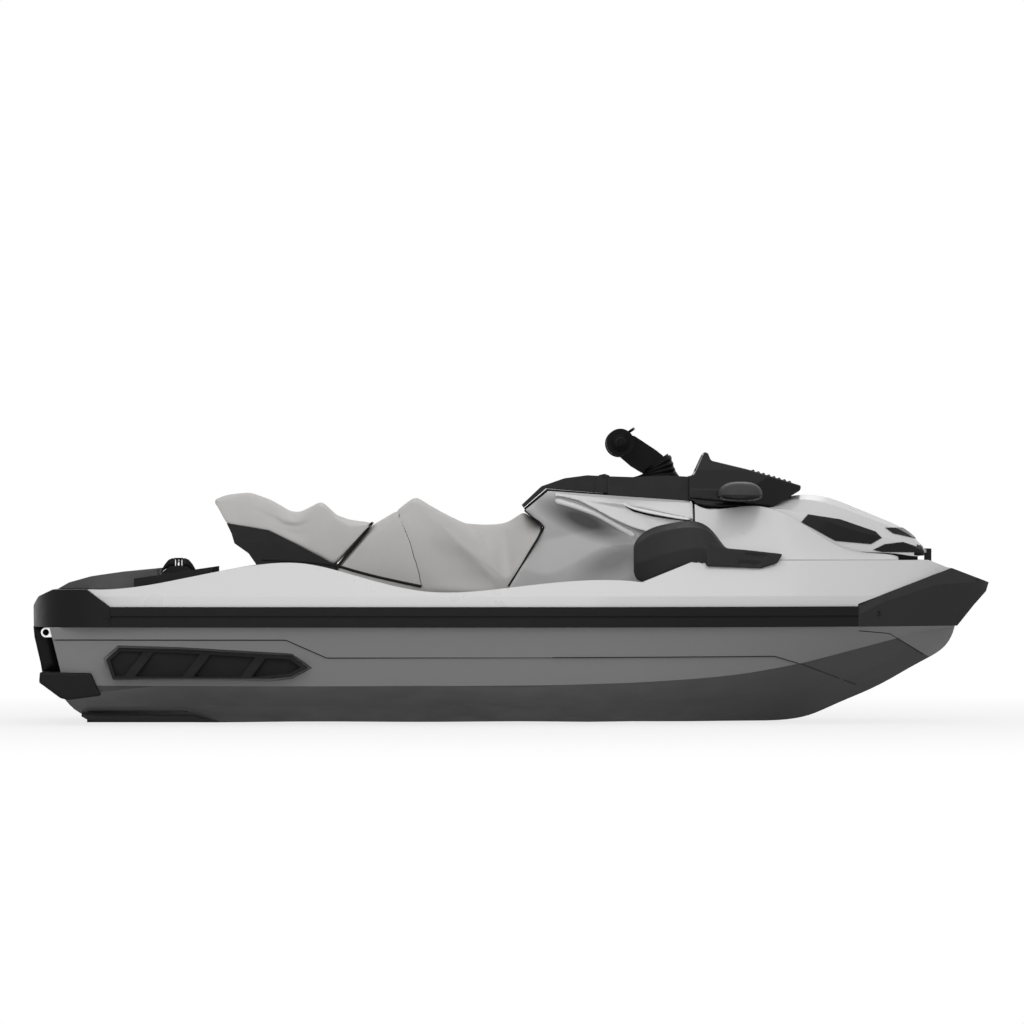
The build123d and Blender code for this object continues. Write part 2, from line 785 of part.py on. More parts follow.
with BuildPart() as console:
    for x, foot_y, crease_y, crease_z, scoop_y, scoop_z, brow_y, brow_z in CONSOLE_STATIONS:
        half = [
            (foot_y, PEDESTAL_Z + FIT),
            (crease_y, crease_z),
            (scoop_y, scoop_z),
            (brow_y, brow_z),
            (min(brow_y, CONSOLE_HALF), CONSOLE_LOFT_Z),
        ]
        with BuildSketch(Plane.YZ.offset(x)):
            with BuildLine():
                Polyline(*both_sides(half), close=True)
            make_face()
    loft()
    with BuildSketch(Plane.XZ):
        with BuildLine():
            Polyline(*CONSOLE_SIDE, close=True)
        make_face()
    extrude(amount=rail_y(0), both=True, mode=Mode.INTERSECT)
    with BuildSketch(Plane.XY.offset(GLOVEBOX_FLOOR_Z)):
        with Locations(((GLOVEBOX_REAR_X + GLOVEBOX_FRONT_X) / 2, 0)):
            Rectangle(GLOVEBOX_FRONT_X - GLOVEBOX_REAR_X, 2 * GLOVEBOX_HALF)
    extrude(amount=GLOVEBOX_FLOOR_Z, mode=Mode.SUBTRACT)
save(console, "console")

# Dash with the steering boss and the ears of the lid's hinge
DASH_REAR_X, DASH_FRONT_X = 340, 652
STEER_X, STEER_Z, STEER_TILT = 545, 640, 35
STEER_SHAFT_R = 15
BOSS_R, BOSS_TOP, BOSS_DEEP = 46, 45, 70
LID_HINGE_X, LID_HINGE_Z = 328, 634
LID_PIN_R = 4
LID_HALF = 98
EAR_GAP, EAR_THICK = 8, 9
EAR_SIDE = [
    # x, z
    (296, 579),
    (296, 626),
    (312, 642),
    (330, 646),
    (348, 640),
    (348, 576),
]
STEER = Plane(
    origin=(STEER_X, 0, STEER_Z),
    x_dir=(cos(radians(STEER_TILT)), 0, sin(radians(STEER_TILT))),
    z_dir=(-sin(radians(STEER_TILT)), 0, cos(radians(STEER_TILT))),
)
DASH_SIDE = [
    # x, z
    (DASH_REAR_X, console_top(DASH_REAR_X) + FIT),
    (CONSOLE_FRONT_X, console_top(CONSOLE_FRONT_X) + FIT),
    (DASH_FRONT_X, 560),
    (DASH_FRONT_X, 634),
    (560, 640),
    (430, 634),
    (DASH_REAR_X, 637),
]
with BuildPart() as dash:
    with BuildSketch(Plane.XZ):
        with BuildLine():
            Polyline(*DASH_SIDE, close=True)
        make_face()
    extrude(amount=CONSOLE_HALF, both=True)
    with BuildSketch(STEER.offset(-BOSS_DEEP / 2)):
        Circle(BOSS_R)
    extrude(amount=BOSS_TOP + BOSS_DEEP / 2)
    with BuildSketch(STEER.offset(-BOSS_DEEP)):
        Circle(STEER_SHAFT_R + FIT)
    extrude(amount=BOSS_TOP + BOSS_DEEP, mode=Mode.SUBTRACT)
    for side in (-1, 1):
        ear_y = side * (LID_HALF + EAR_GAP + EAR_THICK / 2)
        with BuildSketch(Plane.XZ.offset(-ear_y)):
            with BuildLine():
                Polyline(*EAR_SIDE, close=True)
            make_face()
            with Locations((LID_HINGE_X, LID_HINGE_Z)):
                Circle(LID_PIN_R + FIT, mode=Mode.SUBTRACT)
        extrude(amount=EAR_THICK / 2, both=True)
save(dash, "dash")

# Lid of the glovebox, hinged at its front edge
LID_FRONT_X = 325
LID_SIDE = [
    # x, z
    (38, 523),
    (119, 593),
    (LID_FRONT_X, console_top(LID_FRONT_X) + RUN),
    (LID_FRONT_X, 638),
    (268, 641),
    (185, 630),
    (102, 601),
    (31, 534),
]
with BuildPart() as lid:
    with BuildSketch(Plane.XZ):
        with BuildLine():
            Polyline(*LID_SIDE, close=True)
        make_face()
    extrude(amount=LID_HALF, both=True)
    with Locations((LID_HINGE_X, 0, LID_HINGE_Z)):
        pin_length = 2 * (LID_HALF + EAR_GAP + EAR_THICK)
        Cylinder(LID_PIN_R, pin_length, rotation=(90, 0, 0))
save(lid, "glovebox_lid")

# Panels beside the steering, from the console out to the deflectors
PANEL_BITE = 10  # the panel's blank reaches into the console, which cuts it to its seat
PANEL_STATIONS = [
    # x, top_z, top_y, ridge_y, ridge_z, tuck_y, tuck_z, low_y, low_z
    (150, 578, 177, 180, 574, 179, 570, 182, 563),
    (280, 564, 188, 200, 548, 196, 541, 208, 527),
    (400, 556, 204, 236, 536, 222, 520, 254, 464),
    (520, 549, 222, 288, 513, 262, 494, 312, 432),
    (CONSOLE_FRONT_X + RUN, 542, 244, 334, 486, 312, 470, 344, 430),
]
with BuildPart() as panel:
    for x, top_z, top_y, ridge_y, ridge_z, tuck_y, tuck_z, low_y, low_z in PANEL_STATIONS:
        inner_y = CONSOLE_HALF - PANEL_BITE
        with BuildSketch(Plane.YZ.offset(x)):
            with BuildLine():
                Polyline(
                    (inner_y, low_z),
                    (low_y, low_z),
                    (tuck_y, tuck_z),
                    (ridge_y, ridge_z),
                    (top_y, top_z),
                    (inner_y, top_z),
                    close=True,
                )
            make_face()
    loft()
    add(console.part, mode=Mode.SUBTRACT)
save_pair(panel, "side_panel")

# Hood: half-breadth, lower edge and crown at each station
HOOD_STATIONS = [
    # x, half, edge_z, crown_z
    (672, 230, 505, 530),
    (806, 233, 503, 540),
    (939, 232, 492, 552),
    (1040, 225, 452, 570),
    (1153, 205, 392, 556),
    (1298, 168, 362, 499),
    (1400, 136, 355, 455),
    (1480, 105, 353, 385),
]
HOOD_WALL = 9
HOOD_GAP = 10
HOLLOW_DROP = 3  # the hollow's foot lies lower by this many walls
# Shape across the hood: share of the half-breadth, share of the rise to the crown
HOOD_ARCH = [(1, 0), (0.94, 0.45), (0.64, 0.86), (0.25, 1)]


def hood_solid(grow):
    """The hood's outer form, grown by a margin; a hollow has its foot further down."""
    with BuildPart() as solid:
        for x, half, edge_z, crown_z in HOOD_STATIONS:
            foot_z = edge_z + HOLLOW_DROP * min(grow, 0)
            rise = crown_z + grow - foot_z
            arch = [(y * (half + grow), foot_z + z * rise) for y, z in HOOD_ARCH]
            with BuildSketch(Plane.YZ.offset(x)):
                with BuildLine():
                    Polyline(*both_sides(arch), close=True)
                make_face()
        loft()
    return solid.part


def hood_hollow():
    """Room inside the hood, closed by a wall at either end."""
    with BuildPart() as hollow:
        add(hood_solid(-HOOD_WALL))
        with BuildSketch(Plane.YZ.offset(HOOD_REAR_X + HOOD_WALL)):
            Rectangle(2 * HOOD_FRONT_X, 2 * HOOD_FRONT_X)
        extrude(amount=HOOD_FRONT_X - HOOD_REAR_X - 2 * HOOD_WALL, mode=Mode.INTERSECT)
    return hollow.part


def hood_skin():
    """Thin layer over the hood, for what is let into its outside."""
    with BuildPart() as skin:
        add(hood_solid(INSERT_PROUD))
        add(hood_solid(FIT), mode=Mode.SUBTRACT)
    return skin.part


HOOD_REAR_X, HOOD_FRONT_X = HOOD_STATIONS[0][0], HOOD_STATIONS[-1][0]
HOOD_HINGE_X, HOOD_HINGE_Z = 1503, 366
HOOD_PIN_R = 5
HOOD_EYE_R = 10
HOOD_EYE_Y, HOOD_EYE_LENGTH = 60, 24
HOOD_ARM_BITE, HOOD_ARM_HEIGHT = 8, 12  # arm of each eye, let into the hood's front
with BuildPart() as hood:
    add(hood_solid(0))
    add(hood_hollow(), mode=Mode.SUBTRACT)
    for side in (-1, 1):
        with Locations((HOOD_HINGE_X, side * HOOD_EYE_Y, HOOD_HINGE_Z)):
            Cylinder(HOOD_EYE_R, HOOD_EYE_LENGTH, rotation=(90, 0, 0))
        arm_x = (HOOD_HINGE_X + HOOD_FRONT_X - HOOD_ARM_BITE) / 2
        with Locations((arm_x, side * HOOD_EYE_Y, HOOD_HINGE_Z)):
            Box(HOOD_HINGE_X - HOOD_FRONT_X + HOOD_ARM_BITE, HOOD_EYE_LENGTH, HOOD_ARM_HEIGHT)
        with Locations((HOOD_HINGE_X, side * HOOD_EYE_Y, HOOD_HINGE_Z)):
            Cylinder(HOOD_PIN_R + FIT, HOOD_EYE_LENGTH, rotation=(90, 0, 0), mode=Mode.SUBTRACT)
save(hood, "hood")

# Hinge of the hood: brackets on the deck with a pin through the hood's eyes
BRACKET_THICK, BRACKET_BREADTH = 8, 18
BRACKET_GAP = 6
BRACKET_ROOT = 20  # cut back to the deck
with BuildPart() as hinge:
    for side in (-1, 1):
        inner_y = HOOD_EYE_Y - HOOD_EYE_LENGTH / 2 - BRACKET_GAP - BRACKET_THICK / 2
        outer_y = HOOD_EYE_Y + HOOD_EYE_LENGTH / 2 + BRACKET_GAP + BRACKET_THICK / 2
        low_z, top_z = SHELF_Z - BRACKET_ROOT, HOOD_HINGE_Z + HOOD_EYE_R
        for y in (inner_y, outer_y):
            with Locations((HOOD_HINGE_X, side * y, (low_z + top_z) / 2)):
                Box(BRACKET_BREADTH, BRACKET_THICK, top_z - low_z)
        with Locations((HOOD_HINGE_X, side * HOOD_EYE_Y, HOOD_HINGE_Z)):
            Cylinder(HOOD_PIN_R, outer_y - inner_y, rotation=(90, 0, 0))
    add(deck.part, mode=Mode.SUBTRACT)
save(hinge, "hood_hinge")

# Dark inserts let into the hood's sides and front
INSERT_PROUD = 3
INSERT_INNER_Y = 20
HOOD_INSERTS = [
    # side, grille and chin, each an outline in side view
    [(1037, 472), (1062, 500), (1180, 482), (1308, 438), (1330, 415), (1290, 392), (1160, 404)],
    [(1345, 452), (1420, 452), (1466, 412), (1372, 432)],
    [(1298, 372), (1340, 392), (1408, 400), (1470, 380), (1472, 362), (1330, 364)],
]
with BuildPart() as inserts:
    with BuildSketch(Plane.XZ.offset(-INSERT_INNER_Y)):
        for outline in HOOD_INSERTS:
            with BuildLine():
                Polyline(*outline, close=True)
            make_face()
    extrude(amount=-rail_y(0))
    add(hood_skin(), mode=Mode.INTERSECT)
save_twins(inserts, "hood_inserts")

# Visor and windscreen on the rear of the hood
VISOR_REAR_X, VISOR_CHEEK_Y = 632, 200
SCREEN_FOOT, SCREEN_TIP = (652, 643), (690, 725)
VISOR_SIDE = [
    # x, z
    (VISOR_REAR_X, 556),
    (VISOR_REAR_X, 638),
    SCREEN_FOOT,
    SCREEN_TIP,
    (703, 722),
    (714, 694),
    (841, 663),
    (1040, 603),
    (1036, 586),
    (936, 526),
]
VISOR_SECTION = [
    # y, z
    (226, 500),
    (226, 590),
    (196, 660),
    (130, 726),
]
VISOR_PLAN = [
    # x, y
    (VISOR_REAR_X, 226),
    (840, 226),
    (960, 196),
    (1044, 140),
]
with BuildPart() as visor:
    with BuildSketch(Plane.XZ):
        with BuildLine():
            Polyline(*VISOR_SIDE, close=True)
        make_face()
    extrude(amount=VISOR_SECTION[0][0], both=True)
    with BuildSketch(Plane.YZ):
        with BuildLine():
            Polyline(*both_sides(VISOR_SECTION), close=True)
        make_face()
    extrude(amount=HOOD_FRONT_X, mode=Mode.INTERSECT)
    with BuildSketch(Plane.XY):
        with BuildLine():
            Polyline(*both_sides_plan(VISOR_PLAN), close=True)
        make_face()
    extrude(amount=HOOD_FRONT_X, mode=Mode.INTERSECT)
    add(hood_solid(FIT), mode=Mode.SUBTRACT)
    # clear of the dash between the cheeks
    with BuildSketch(Plane.XZ):
        with BuildLine():
            Polyline(
                (VISOR_REAR_X, BOND_Z),
                (VISOR_REAR_X, SCREEN_FOOT[1]),
                (DASH_FRONT_X + RUN, SCREEN_FOOT[1]),
                (DASH_FRONT_X + RUN, BOND_Z),
                close=True,
            )
        make_face()
    extrude(amount=VISOR_CHEEK_Y, both=True, mode=Mode.SUBTRACT)
save(visor, "visor")

# Display on the rear face of the visor
GAUGE_WIDTH, GAUGE_HEIGHT, GAUGE_PROUD = 150, 66, 4
GAUGE_ROUND = 12
visor_back = Plane(
    origin=((SCREEN_FOOT[0] + SCREEN_TIP[0]) / 2, 0, (SCREEN_FOOT[1] + SCREEN_TIP[1]) / 2),
    x_dir=(0, -1, 0),
    z_dir=(SCREEN_FOOT[1] - SCREEN_TIP[1], 0, SCREEN_TIP[0] - SCREEN_FOOT[0]),
)
with BuildPart() as gauge:
    with BuildSketch(visor_back.offset(FIT)):
        RectangleRounded(GAUGE_WIDTH, GAUGE_HEIGHT, GAUGE_ROUND)
    extrude(amount=GAUGE_PROUD)
save(gauge, "gauge")

# Mirrors on short arms beside the visor
MIRROR_SIDE = [
    # x, z
    (736, 551),
    (738, 590),
    (780, 612),
    (845, 612),
    (886, 584),
    (896, 551),
]
MIRROR_INNER_Y, MIRROR_OUTER_Y = 262, 392
MIRROR_ROUND = 20
ARM_X, ARM_Z = 790, 568
ARM_LENGTH, ARM_HEIGHT, ARM_ROUND = 70, 26, 8
with BuildPart() as mirror_port:
    with BuildSketch(Plane.XZ.offset(-MIRROR_INNER_Y)):
        with BuildLine():
            Polyline(*MIRROR_SIDE, close=True)
        make_face()
    extrude(amount=MIRROR_INNER_Y - MIRROR_OUTER_Y)
    fillet(mirror_port.faces().sort_by(Axis.Y)[-1].edges(), MIRROR_ROUND)
    arm_inner_y = VISOR_SECTION[1][0] + FIT
    with BuildSketch(Plane.XZ.offset(-arm_inner_y)):
        with Locations((ARM_X, ARM_Z)):
            RectangleRounded(ARM_LENGTH, ARM_HEIGHT, ARM_ROUND)
    extrude(amount=arm_inner_y - MIRROR_INNER_Y)
save_twins(mirror_port, "mirrors")

# Fairings: shoulders beside the hood that run down to the bow
FAIRING_STATIONS = [
    # x, shoulder_rise above the shelf, crest breadth, edge inset
    (SHELF_REAR_X + 2, 203, 36, 96),
    (806, 192, 34, 96),
    (939, 182, 32, 96),
    (1040, 131, 28, 94),
    (1153, 61, 24, 92),
    (1298, 25, 20, 90),
    (1390, 12, 16, 88),
]


def hood_half(x):
    """Half-breadth of the hood at x, between rows of its table."""
    rows = [row[:2] for row in HOOD_STATIONS]
    for (x0, y0), (x1, y1) in zip(rows, rows[1:]):
        if x <= x1:
            break
    return y0 + (y1 - y0) * (x - x0) / (x1 - x0)


with BuildPart() as fairing:
    for x, rise, breadth, inset in FAIRING_STATIONS:
        inner_y = hood_half(x) + HOOD_GAP
        outer_y = rail_y(x) - inset
        with BuildSketch(Plane.YZ.offset(x)):
            with BuildLine():
                Polyline(
                    (inner_y, SHELF_Z),
                    (outer_y, SHELF_Z),
                    (inner_y + breadth, SHELF_Z + rise),
                    (inner_y, SHELF_Z + rise),
                    close=True,
                )
            make_face()
    loft()
    with BuildSketch(Plane.XY.offset(SHELF_Z)):
        Rectangle(2 * NOSE_X, 2 * rail_y(0))
    extrude(amount=DECK_LOFT_Z, mode=Mode.INTERSECT)
save_pair(fairing, "fairing")

# Wave deflectors ahead of the footwells, with two vent slots each
DEFLECTOR_STATIONS = [
    # x, low_z, top_z, outer_y
    (432, 296, 386, 396),
    (485, 262, 446, 452),
    (548, 284, 466, 486),
    (612, 304, 476, 499),
    (676, 318, 468, 496),
    (724, 320, 428, 482),
    (766, 320, 384, 462),
]
DEFLECTOR_INNER_Y = 322
# Shape across the deflector: share of its breadth, share of its height
DEFLECTOR_ARCH = [(0, 0), (0.9, 0), (1, 0.42), (0.8, 0.86), (0.42, 1), (0, 0.94)]
TAIL_SIDE = [
    # x, z
    (690, 314),
    (690, 404),
    (764, 378),
    (827, 373),
    (964, 358),
    (945, 326),
    (886, 306),
]
TAIL_INSET, TAIL_THICK = 58, 72  # tail's face inside the rail's, and its depth
VENT_DEPTH = 7
VENTS = [
    # corners of each slot, as x, z
    [(827, 363), (910, 355), (898, 340), (831, 348)],
    [(807, 335), (887, 328), (879, 311), (799, 317)],
]


def tail_band(outer, thick):
    """Room along the tail's face, from a distance outside it to a depth inside."""
    stations = (TAIL_SIDE[0][0], (TAIL_SIDE[0][0] + TAIL_SIDE[4][0]) / 2, TAIL_SIDE[4][0])
    face = [(x, rail_y(x) - TAIL_INSET + outer) for x in stations]
    back = [(x, y - outer - thick) for x, y in reversed(face)]
    with BuildPart() as band:
        with BuildSketch(Plane.XY):
            with BuildLine():
                Polyline(*face, *back, close=True)
            make_face()
        extrude(amount=DECK_LOFT_Z)
    return band.part


def vent_cut():
    """The two slots, each a little deep in the tail's face."""
    with BuildPart() as cut:
        with BuildSketch(Plane.XZ):
            for slot in VENTS:
                with BuildLine():
                    Polyline(*slot, close=True)
                make_face()
        extrude(amount=-rail_y(0))
        add(tail_band(VENT_DEPTH, VENT_DEPTH), mode=Mode.INTERSECT)
    return cut.part


def deflector_tail():
    """Thin tail that lies on the deck's shoulder behind the deflector's body."""
    with BuildPart() as tail:
        with BuildSketch(Plane.XZ):
            with BuildLine():
                Polyline(*TAIL_SIDE, close=True)
            make_face()
        extrude(amount=-rail_y(0))
        add(tail_band(0, TAIL_THICK), mode=Mode.INTERSECT)
        add(vent_cut(), mode=Mode.SUBTRACT)
    return tail.part


with BuildPart() as deflector:
    for x, low_z, top_z, outer_y in DEFLECTOR_STATIONS:
        width, height = outer_y - DEFLECTOR_INNER_Y, top_z - low_z
        arch = [(DEFLECTOR_INNER_Y + y * width, low_z + z * height) for y, z in DEFLECTOR_ARCH]
        with BuildSketch(Plane.YZ.offset(x)):
            with BuildLine():
                Polyline(*arch, close=True)
            make_face()
    loft()
    add(deflector_tail())
    for neighbour in (deck, fairing, panel, console):
        add(neighbour.part, mode=Mode.SUBTRACT)
save_pair(deflector, "deflector")

# Storage tub that hangs by its lip in the bow, under the hood
with BuildPart() as tub:
    with BuildSketch(Plane.XY.offset(BIN_FLOOR_Z - BIN_WALL)):
        with BuildLine():
            Polyline(*tub_outline(BIN_WALL), close=True)
        make_face()
    extrude(amount=SHELF_Z + FIT + BIN_WALL - BIN_FLOOR_Z + BIN_WALL)
    with BuildSketch(Plane.XY.offset(SHELF_Z + FIT)):
        with BuildLine():
            Polyline(*tub_outline(BIN_LIP), close=True)
        make_face()
    extrude(amount=BIN_WALL)
    with BuildSketch(Plane.XY.offset(BIN_FLOOR_Z)):
        with BuildLine():
            Polyline(*tub_outline(0), close=True)
        make_face()
    extrude(amount=SHELF_Z, mode=Mode.SUBTRACT)
save(tub, "storage_tub")

# Steering: mast on its shaft, bar, controls, grips and levers, drawn straight ahead
BAR_U, BAR_A = -63, 188  # place of the bar in the steering plane
BAR_R = 11
BAR_HALF = 395
MAST_HALF = 40
MAST_ROUND = 8
SKIRT_DEEP, SKIRT_WALL = 7, 6
SHAFT_BITE = 4  # the shaft is let into the mast
MAST_SIDE = [
    # u, a
    (-58, BOSS_TOP + RUN),
    (42, BOSS_TOP + RUN),
    (30, 92),
    (-4, 178),
    (-40, 212),
    (-88, 212),
    (-96, 166),
    (-78, 96),
]
steer_side = Plane(
    origin=STEER.origin,
    x_dir=STEER.x_dir,
    z_dir=(0, -1, 0),
)
with BuildPart() as mast:
    with BuildSketch(steer_side):
        with BuildLine():
            Polyline(*MAST_SIDE, close=True)
        make_face()
    extrude(amount=MAST_HALF, both=True)
    fillet(mast.edges().filter_by(Axis.Y), MAST_ROUND)
    with BuildSketch(STEER.offset(-BOSS_DEEP + RUN)):
        Circle(STEER_SHAFT_R)
    extrude(amount=BOSS_DEEP + BOSS_TOP + SHAFT_BITE)
    # skirt that hangs round the boss
    with BuildSketch(STEER.offset(BOSS_TOP + RUN - SKIRT_DEEP)):
        Circle(BOSS_R + RUN + SKIRT_WALL)
        Circle(BOSS_R + RUN, mode=Mode.SUBTRACT)
    extrude(amount=SKIRT_DEEP + SKIRT_WALL)
    with BuildSketch(steer_side):
        with Locations((BAR_U, BAR_A)):
            Circle(BAR_R + FIT)
    extrude(amount=MAST_HALF, both=True, mode=Mode.SUBTRACT)
save(mast, "steering_mast")

with BuildPart() as bar:
    with BuildSketch(steer_side):
        with Locations((BAR_U, BAR_A)):
            Circle(BAR_R)
    extrude(amount=BAR_HALF, both=True)
save(bar, "handlebar")

CONTROL_INNER_Y, CONTROL_OUTER_Y, CONTROL_R = 176, 246, 50
GRIP_INNER_Y, GRIP_OUTER_Y, GRIP_R = 254, 398, 18
GRIP_FLANGE, GRIP_FLANGE_R = 10, 32
with BuildPart() as control:
    with BuildSketch(steer_side.offset(-CONTROL_INNER_Y)):
        with Locations((BAR_U, BAR_A)):
            Circle(CONTROL_R)
            Circle(BAR_R + FIT, mode=Mode.SUBTRACT)
    extrude(amount=CONTROL_INNER_Y - CONTROL_OUTER_Y)
save_twins(control, "control_pods")

with BuildPart() as grip:
    for start, stop, radius in (
        (GRIP_INNER_Y, GRIP_OUTER_Y, GRIP_R),
        (GRIP_INNER_Y, GRIP_INNER_Y + GRIP_FLANGE, GRIP_FLANGE_R),
    ):
        with BuildSketch(steer_side.offset(-start)):
            with Locations((BAR_U, BAR_A)):
                Circle(radius)
        extrude(amount=start - stop)
    with BuildSketch(steer_side.offset(-GRIP_INNER_Y)):
        with Locations((BAR_U, BAR_A)):
            Circle(BAR_R + FIT)
    extrude(amount=GRIP_INNER_Y - BAR_HALF - FIT, mode=Mode.SUBTRACT)
save_twins(grip, "grips")

LEVER_A, LEVER_THICK = 196, 10
LEVER_PLAN = [
    # u, y
    (-15, 200),
    (9, 212),
    (1, 340),
    (-13, 340),
    (-11, 230),
]
with BuildPart() as lever:
    with BuildSketch(STEER.offset(LEVER_A)):
        with BuildLine():
            Polyline(*LEVER_PLAN, close=True)
        make_face()
    extrude(amount=LEVER_THICK)
    add(control.part, mode=Mode.SUBTRACT)
save_twins(lever, "levers")

# Jet pump: housing with stator, venturi, steering nozzle and reverse bucket
HOUSING_R = IMPELLER_R + TIP_GAP
FLANGE_R, FLANGE_THICK = 116, 10
HUB_R = 30
STATOR_REAR_X, STATOR_FRONT_X = -1345, -1268
BEARING_REAR_X = STATOR_REAR_X + 20  # blind end of the shaft's bearing
STATOR_VANES = 7
VANE_THICK, VANE_BITE = 5, 8
PUMP_AXIS = Plane(origin=(0, 0, PUMP_Z), x_dir=(0, 1, 0), z_dir=(1, 0, 0))
with BuildPart() as housing:
    with BuildSketch(PUMP_AXIS.offset(HOUSING_REAR_X)):
        Circle(HOUSING_R + HOUSING_WALL)
        Circle(HOUSING_R, mode=Mode.SUBTRACT)
    extrude(amount=PUMP_FRONT_X - FIT - HOUSING_REAR_X)
    with BuildSketch(PUMP_AXIS.offset(PUMP_FRONT_X - FIT - FLANGE_THICK)):
        Circle(FLANGE_R)
        Circle(HOUSING_R, mode=Mode.SUBTRACT)
    extrude(amount=FLANGE_THICK)
    with BuildSketch(PUMP_AXIS.offset(STATOR_REAR_X)):
        Circle(HUB_R)
        with PolarLocations((HUB_R + HOUSING_R) / 2, STATOR_VANES):
            Rectangle(HOUSING_R - HUB_R + VANE_BITE, VANE_THICK)
    extrude(amount=STATOR_FRONT_X - STATOR_REAR_X)
    with BuildSketch(PUMP_AXIS.offset(BEARING_REAR_X)):
        Circle(SHAFT_R + FIT)
    extrude(amount=PUMP_FRONT_X - STATOR_REAR_X, mode=Mode.SUBTRACT)
save(housing, "pump_housing")

# Impeller of pitched blades on a hub, turned by the drive shaft
BLADES = 4
BLADE_PITCH = 48
BLADE_CHORD, BLADE_THICK, BLADE_ROUND = 100, 6, 2.8
IMPELLER_REAR_X, IMPELLER_FRONT_X = -1258, -1168


def impeller_blade(turn):
    """One pitched blade, turned about the shaft by degrees."""
    impeller_x = (IMPELLER_REAR_X + IMPELLER_FRONT_X) / 2
    chord = (cos(radians(BLADE_PITCH)), sin(radians(BLADE_PITCH)), 0)
    with BuildPart() as blade:
        with BuildSketch(Plane((impeller_x, 0, PUMP_Z + HUB_R - BLADE_THICK), x_dir=chord)):
            RectangleRounded(BLADE_CHORD, BLADE_THICK, BLADE_ROUND)
        extrude(amount=IMPELLER_R)
    return blade.part.rotate(Axis((0, 0, PUMP_Z), (1, 0, 0)), turn)


with BuildPart() as impeller:
    for count in range(BLADES):
        add(impeller_blade(count * 360 / BLADES))
    with BuildSketch(PUMP_AXIS.offset(IMPELLER_REAR_X)):
        Circle(IMPELLER_R)
    extrude(amount=IMPELLER_FRONT_X - IMPELLER_REAR_X, mode=Mode.INTERSECT)
    with BuildSketch(PUMP_AXIS.offset(IMPELLER_REAR_X)):
        Circle(HUB_R)
    extrude(amount=IMPELLER_FRONT_X - IMPELLER_REAR_X)
    with BuildSketch(PUMP_AXIS.offset(IMPELLER_REAR_X)):
        Circle(SHAFT_R + FIT)
    extrude(amount=IMPELLER_FRONT_X - IMPELLER_REAR_X, mode=Mode.SUBTRACT)
save(impeller, "impeller")

with BuildPart() as shaft:
    with BuildSketch(PUMP_AXIS.offset(BEARING_REAR_X + RUN)):
        Circle(SHAFT_R)
    extrude(amount=ENGINE_REAR_X - BEARING_REAR_X - 2 * RUN)
save(shaft, "drive_shaft")

VENTURI_WAIST_X = -1450
NOZZLE_X = -1490
NOZZLE_PIN_R, NOZZLE_PIN_OFF, NOZZLE_PIN_LENGTH = 8, 66, 26
BUCKET_X = -1420
TRUNNION_R, TRUNNION_Y, TRUNNION_LENGTH = 9, 90, 56
CHEEK_INNER_Y, CHEEK_OUTER_Y = 108, 116
with BuildPart() as venturi:
    waist_r = VENTURI_EXIT_R + VENTURI_WALL
    with BuildSketch(Plane.XZ):
        with BuildLine():
            Polyline(
                (HOUSING_REAR_X - FIT, PUMP_Z + HOUSING_R),
                (HOUSING_REAR_X - FIT, PUMP_Z + HOUSING_R + HOUSING_WALL),
                (VENTURI_WAIST_X, PUMP_Z + waist_r),
                (VENTURI_REAR_X, PUMP_Z + waist_r),
                (VENTURI_REAR_X, PUMP_Z + VENTURI_EXIT_R),
                (VENTURI_WAIST_X, PUMP_Z + VENTURI_EXIT_R),
                close=True,
            )
        make_face()
    revolve(axis=Axis((0, 0, PUMP_Z), (1, 0, 0)))
    for side in (-1, 1):
        with Locations((NOZZLE_X, 0, PUMP_Z + side * NOZZLE_PIN_OFF)):
            Cylinder(NOZZLE_PIN_R, NOZZLE_PIN_LENGTH)
        with Locations((BUCKET_X, side * TRUNNION_Y, PUMP_Z)):
            Cylinder(TRUNNION_R, TRUNNION_LENGTH, rotation=(90, 0, 0))
save(venturi, "venturi")

NOZZLE_FRONT_X, NOZZLE_BELL_X, NOZZLE_REAR_X = -1478, -1520, -1605
NOZZLE_BELL_R, NOZZLE_EXIT_R, NOZZLE_WALL = 73, 46, 6
with BuildPart() as nozzle:
    with BuildSketch(Plane.XZ):
        with BuildLine():
            Polyline(
                (NOZZLE_FRONT_X, PUMP_Z + NOZZLE_BELL_R),
                (NOZZLE_FRONT_X, PUMP_Z + NOZZLE_BELL_R + NOZZLE_WALL),
                (NOZZLE_BELL_X, PUMP_Z + NOZZLE_BELL_R + NOZZLE_WALL),
                (NOZZLE_REAR_X, PUMP_Z + NOZZLE_EXIT_R + NOZZLE_WALL),
                (NOZZLE_REAR_X, PUMP_Z + NOZZLE_EXIT_R),
                (NOZZLE_BELL_X, PUMP_Z + NOZZLE_BELL_R),
                close=True,
            )
        make_face()
    revolve(axis=Axis((0, 0, PUMP_Z), (1, 0, 0)))
    with Locations((NOZZLE_X, 0, PUMP_Z)):
        Cylinder(NOZZLE_PIN_R + FIT, 4 * NOZZLE_BELL_R, mode=Mode.SUBTRACT)
save(nozzle, "nozzle")

